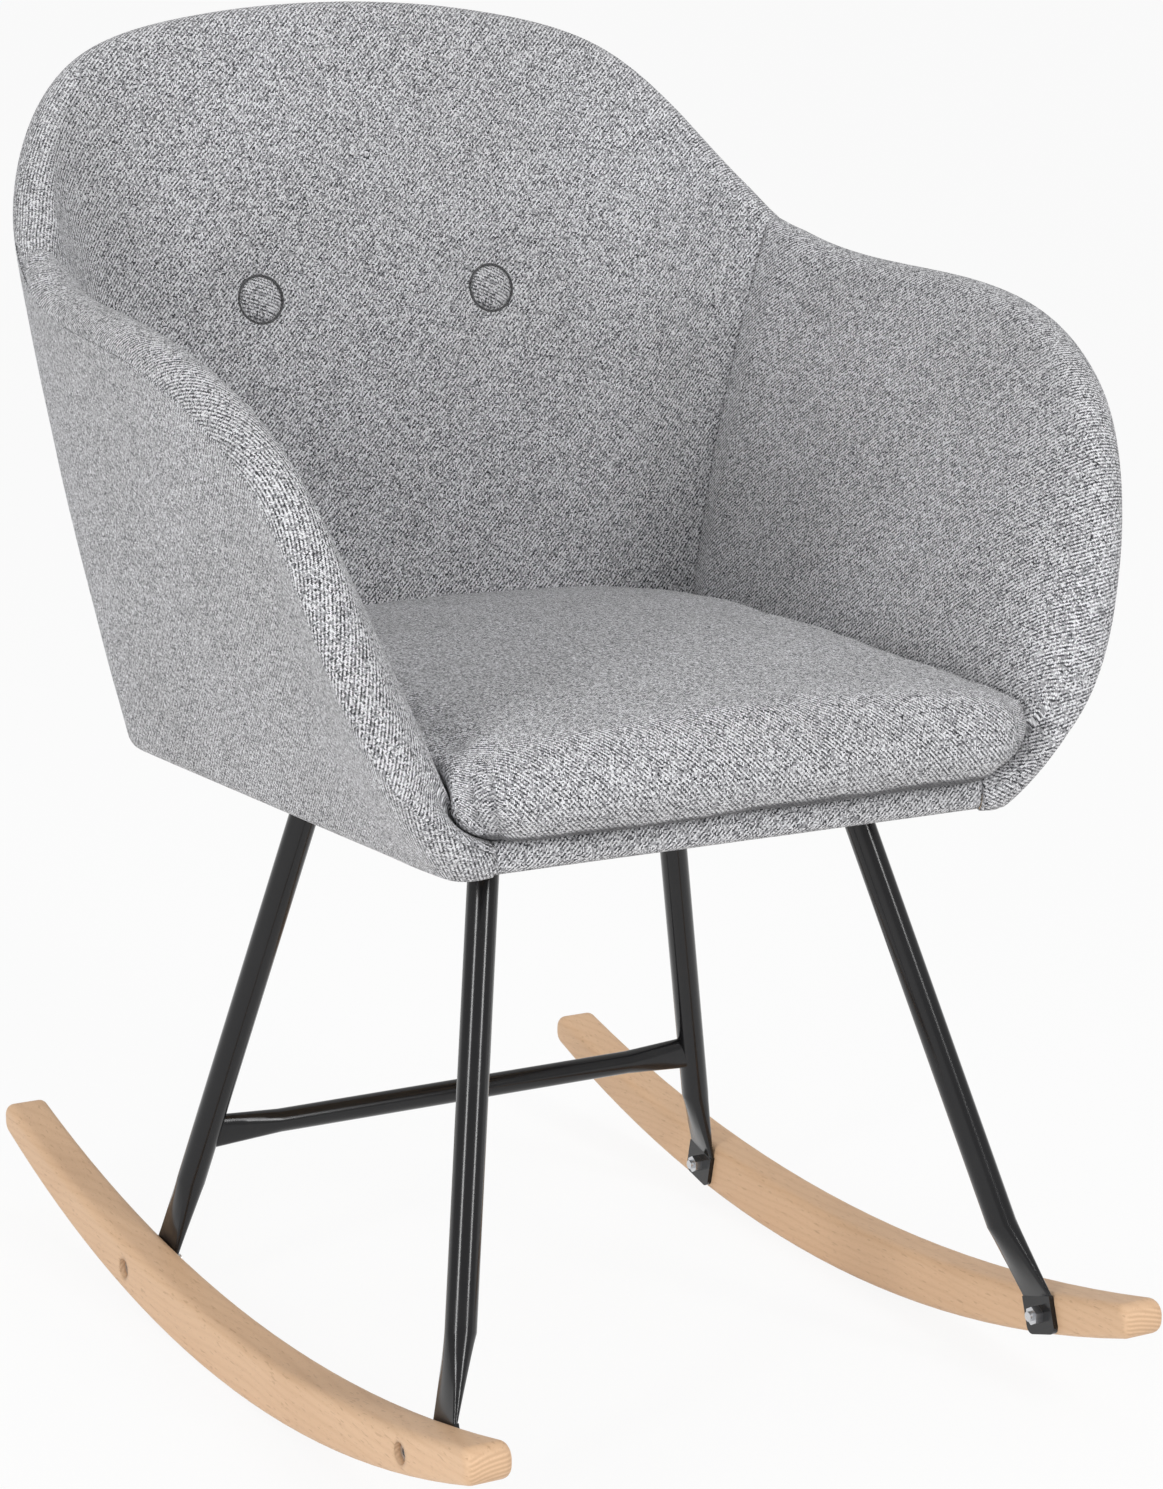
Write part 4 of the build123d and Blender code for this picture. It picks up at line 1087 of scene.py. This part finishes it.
# Buttons covered in the same cloth
def make_button(name, node, place, inward, up):
    side = np.cross(up, inward)
    bm = bmesh.new()
    uv = bm.loops.layers.uv.new("weave")
    rings = []
    for radius, depth in BUTTON_PROFILE:
        if radius == 0.0:
            rings.append([bm.verts.new(place + inward * depth * MM)])
            continue
        ring = []
        for k in range(BUTTON_POINTS):
            a = 2 * math.pi * k / BUTTON_POINTS
            pleat = 1 + PLEAT_DEPTH * math.sin(BUTTON_PLEATS * a) * ease((radius - PLEATS_FROM) / PLEATS_FADE)
            out = radius * pleat * (math.cos(a) * side + math.sin(a) * up)
            ring.append(bm.verts.new(place + (out + inward * depth) * MM))
        rings.append(ring)
    for a, b in zip(rings, rings[1:]):
        for k in range(BUTTON_POINTS):
            j = (k + 1) % BUTTON_POINTS
            if len(a) == 1:
                bm.faces.new((a[0], b[k], b[j]))
            elif len(b) == 1:
                bm.faces.new((a[k], b[0], a[j]))
            else:
                bm.faces.new((a[k], b[k], b[j], a[j]))
    bmesh.ops.recalc_face_normals(bm, faces=bm.faces)
    for face in bm.faces:
        face.smooth = True
        for loop in face.loops:
            offset = np.array(loop.vert.co) - place
            across, along = offset @ side, offset @ up
            straight, slant = BUTTON_WEAVE
            loop[uv].uv = (across * straight + along * slant, along * straight - across * slant)
    piece = new_piece(name, finished_mesh(name, bm), cloth)
    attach(piece, "root")
    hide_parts(node)


def make_button_shade_fold(name, place, inward, up):
    """Tight fold of cloth round the edge of a button, dark as painted shade in the gap round it."""
    side = np.cross(up, inward)
    rows = []
    for a in np.linspace(0, 2 * math.pi, FOLD_POINTS):
        out = math.cos(a) * side + math.sin(a) * up
        middle = place + (FOLD_RADIUS * out - FOLD_DEPTH * inward) * MM
        row = []
        for b in np.linspace(0, 2 * math.pi, FOLD_SIDES + 1)[:-1]:
            row.append(middle + FOLD_THICKNESS * MM * (math.cos(b) * out + math.sin(b) * inward))
        rows.append(row)
    threads = [[(FOLD_STEP * i, FOLD_SIDE * j) for j in range(FOLD_SIDES)] for i in range(FOLD_POINTS)]
    mesh = strip_mesh(name, rows, threads, caps=False)
    # The dark cloth here is painted shade in the gap round the button
    piece = new_piece(name, mesh, thread)
    with editing(mesh) as bm:
        bmesh.ops.remove_doubles(bm, verts=bm.verts, dist=0.00001)
        bmesh.ops.recalc_face_normals(bm, faces=bm.faces)
    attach(piece, "root")


for (place, inward, up), side in zip(buttons, ("right", "left")):
    make_button(f"cloth_button_{side}", f"back_button_{side}", place, inward, up)
    make_button_shade_fold(f"button_fold_{side}", place, inward, up)


# Seams: a line of short sunk stitches, dark both as thread and as painted shade in the seam's groove
def make_stitch_tree():
    tree = bpy.data.node_groups.new("stitch_row", "GeometryNodeTree")
    sockets = tree.interface
    sockets.new_socket("Geometry", in_out="INPUT", socket_type="NodeSocketGeometry")
    for title, value in (("Spacing", 0.0032), ("Length", 0.0027), ("Thickness", 0.0006)):
        sockets.new_socket(title, in_out="INPUT", socket_type="NodeSocketFloat").default_value = value
    sockets.new_socket("Material", in_out="INPUT", socket_type="NodeSocketMaterial")
    sockets.new_socket("Geometry", in_out="OUTPUT", socket_type="NodeSocketGeometry")

    def add(kind, **settings):
        node = tree.nodes.new(kind)
        for key, value in settings.items():
            setattr(node, key, value)
        return node

    start, end = add("NodeGroupInput"), add("NodeGroupOutput")
    curve = add("GeometryNodeMeshToCurve")
    even = add("GeometryNodeResampleCurve", mode="LENGTH")
    bead = add("GeometryNodeMeshIcoSphere")
    bead.inputs["Radius"].default_value = 0.5
    bead.inputs["Subdivisions"].default_value = 1
    stretch = add("ShaderNodeCombineXYZ")
    size = add("GeometryNodeTransform")
    tangent = add("GeometryNodeInputTangent")
    turn = add("FunctionNodeAlignRotationToVector", axis="Z")
    spread = add("GeometryNodeInstanceOnPoints")
    real = add("GeometryNodeRealizeInstances")
    paint = add("GeometryNodeSetMaterial")
    link = tree.links.new
    link(start.outputs["Geometry"], curve.inputs["Mesh"])
    link(curve.outputs["Curve"], even.inputs["Curve"])
    link(start.outputs["Spacing"], even.inputs["Length"])
    link(start.outputs["Thickness"], stretch.inputs["X"])
    link(start.outputs["Thickness"], stretch.inputs["Y"])
    link(start.outputs["Length"], stretch.inputs["Z"])
    link(bead.outputs["Mesh"], size.inputs["Geometry"])
    link(stretch.outputs[0], size.inputs["Scale"])
    link(tangent.outputs[0], turn.inputs["Vector"])
    link(even.outputs["Curve"], spread.inputs["Points"])
    link(size.outputs["Geometry"], spread.inputs["Instance"])
    link(turn.outputs["Rotation"], spread.inputs["Rotation"])
    link(spread.outputs["Instances"], real.inputs["Geometry"])
    link(real.outputs["Geometry"], paint.inputs["Geometry"])
    link(start.outputs["Material"], paint.inputs["Material"])
    link(paint.outputs["Geometry"], end.inputs["Geometry"])
    return tree


stitch_tree = make_stitch_tree()


def sew(name, lines):
    """Row of stitches along each line of points."""
    mesh = bpy.data.meshes.new(name)
    points, edges = [], []
    for line in lines:
        edges += [(len(points) + k, len(points) + k + 1) for k in range(len(line) - 1)]
        points += [tuple(p) for p in line]
    mesh.from_pydata(points, edges, [])
    piece = bpy.data.objects.new(name, mesh)
    scene.collection.objects.link(piece)
    modifier = piece.modifiers.new("stitches", "NODES")
    modifier.node_group = stitch_tree
    ids = {i.name: i.identifier for i in stitch_tree.interface.items_tree if i.in_out == "INPUT"}
    modifier[ids["Material"]] = thread
    settle(piece)
    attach(piece, "root")


def rim_seam_line():
    line = []
    for share in np.linspace(*RIM_SEAM_ENDS, 420):
        wall = Wall(share)
        line.append(wall.place([wall.outer_roll(math.radians(SEAM_ANGLE)) + RIM_STITCH])[0])
    return line


def diagonal_seam_line(share):
    wall = Wall(share)
    foot = wall.pad_foot()
    draw = seam_draw(SEAM_SHARE)
    line = []
    for part in np.linspace(*BACK_SEAM_ENDS, 60):
        line.append((wall.pad_inside(part, draw) + BACK_STITCH, foot + part * (wall.height - foot)))
    return list(wall.place(line))


def rail_seam_line(side):
    low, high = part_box("front_band")
    x = side * (high.x + RAIL_PAST + RAIL_STITCH_OUT)
    heights = np.linspace(low.z + RAIL_STITCH_FOOT, high.z - RAIL_STITCH_TOP, 12)
    return [(x, low.y + RAIL_STITCH_IN, z) for z in heights]


sew("rim_seam_stitches", [rim_seam_line()])
sew("back_seam_stitches", [diagonal_seam_line(SEAM_SHARE), diagonal_seam_line(2 - SEAM_SHARE)])
sew("rail_seam_stitches", [rail_seam_line(1), rail_seam_line(-1)])


# Floor, light and camera
FLOOR_GLOW, SKY_LIGHT, SKY_SEEN = 0.90, 0.55, 0.45
SENSOR_WIDTH, PHOTO_HEIGHT_PIXELS, FOCAL_LENGTH_PIXELS = 36.0, 1489.0, 3703.0
CAMERA_PLACE, CAMERA_ABOVE, CAMERA_ROUND = (-1.0546, -1.9533, 0.8552), 12.4236, -29.0678


def make_floor():
    bm = bmesh.new()
    corners = [bm.verts.new((x, y, 0)) for x, y in ((-30, -30), (30, -30), (30, 60), (-30, 60))]
    bm.faces.new(corners)
    mesh = finished_mesh("floor", bm)
    floor = bpy.data.objects.new("floor", mesh)
    scene.collection.objects.link(floor)
    material, s, surface = new_material("white_floor")
    surface.inputs["Base Color"].default_value = (0.92, 0.92, 0.92, 1)
    surface.inputs["Roughness"].default_value = 0.9
    surface.inputs["Specular IOR Level"].default_value = 0.0
    glow = s.add("ShaderNodeEmission")
    glow.inputs["Strength"].default_value = 1.0
    ray = s.add("ShaderNodeLightPath")
    mirrored = s.math("MAXIMUM", ray.outputs["Is Glossy Ray"], ray.outputs["Is Transmission Ray"])
    seen = s.math("MAXIMUM", ray.outputs["Is Camera Ray"], mirrored)
    mix = s.add("ShaderNodeMixShader")
    s.join(s.times(seen, FLOOR_GLOW), mix.inputs[0])
    s.join(surface.outputs[0], mix.inputs[1])
    s.join(glow.outputs[0], mix.inputs[2])
    out = next(n for n in material.node_tree.nodes if n.type == "OUTPUT_MATERIAL")
    s.join(mix.outputs[0], out.inputs["Surface"])
    mesh.materials.append(material)


make_floor()

world = bpy.data.worlds.new("studio")
scene.world = world
world.use_nodes = True
studio = Shader(world.node_tree)
sky = next(n for n in world.node_tree.nodes if n.type == "BACKGROUND")
ray = studio.add("ShaderNodeLightPath")
level = studio.plus(studio.times(ray.outputs["Is Camera Ray"], SKY_SEEN), SKY_LIGHT)
studio.join(level, sky.inputs["Strength"])
sky.inputs["Color"].default_value = (1, 1, 1, 1)


def soft_light(name, place, target, size, watts):
    lamp = bpy.data.lights.new(name, "AREA")
    lamp.shape = "RECTANGLE"
    lamp.size, lamp.size_y = size
    lamp.energy = watts
    holder = bpy.data.objects.new(name, lamp)
    scene.collection.objects.link(holder)
    holder.location = place
    holder.rotation_euler = (Vector(target) - Vector(place)).to_track_quat("-Z", "Y").to_euler()


soft_light("left_light", place=(-2.9, -1.4, 1.2), target=(0, 0, 0.45), size=(0.5, 1.8), watts=41)
soft_light("front_light", place=(0.9, -3.1, 2.0), target=(0, 0, 0.5), size=(0.5, 1.8), watts=44)
soft_light("top_light", place=(0.2, 0.6, 3.0), target=(0, 0, 0.5), size=(1.8, 1.8), watts=9)

camera = bpy.data.cameras.new("camera")
camera.sensor_width = SENSOR_WIDTH
camera.lens = FOCAL_LENGTH_PIXELS / PHOTO_HEIGHT_PIXELS * SENSOR_WIDTH
camera.clip_end = 200.0
holder = bpy.data.objects.new("camera", camera)
scene.collection.objects.link(holder)
holder.location = CAMERA_PLACE
holder.rotation_euler = (math.radians(90 - CAMERA_ABOVE), 0.0, math.radians(CAMERA_ROUND))
scene.camera = holder
scene.view_settings.view_transform = "Standard"
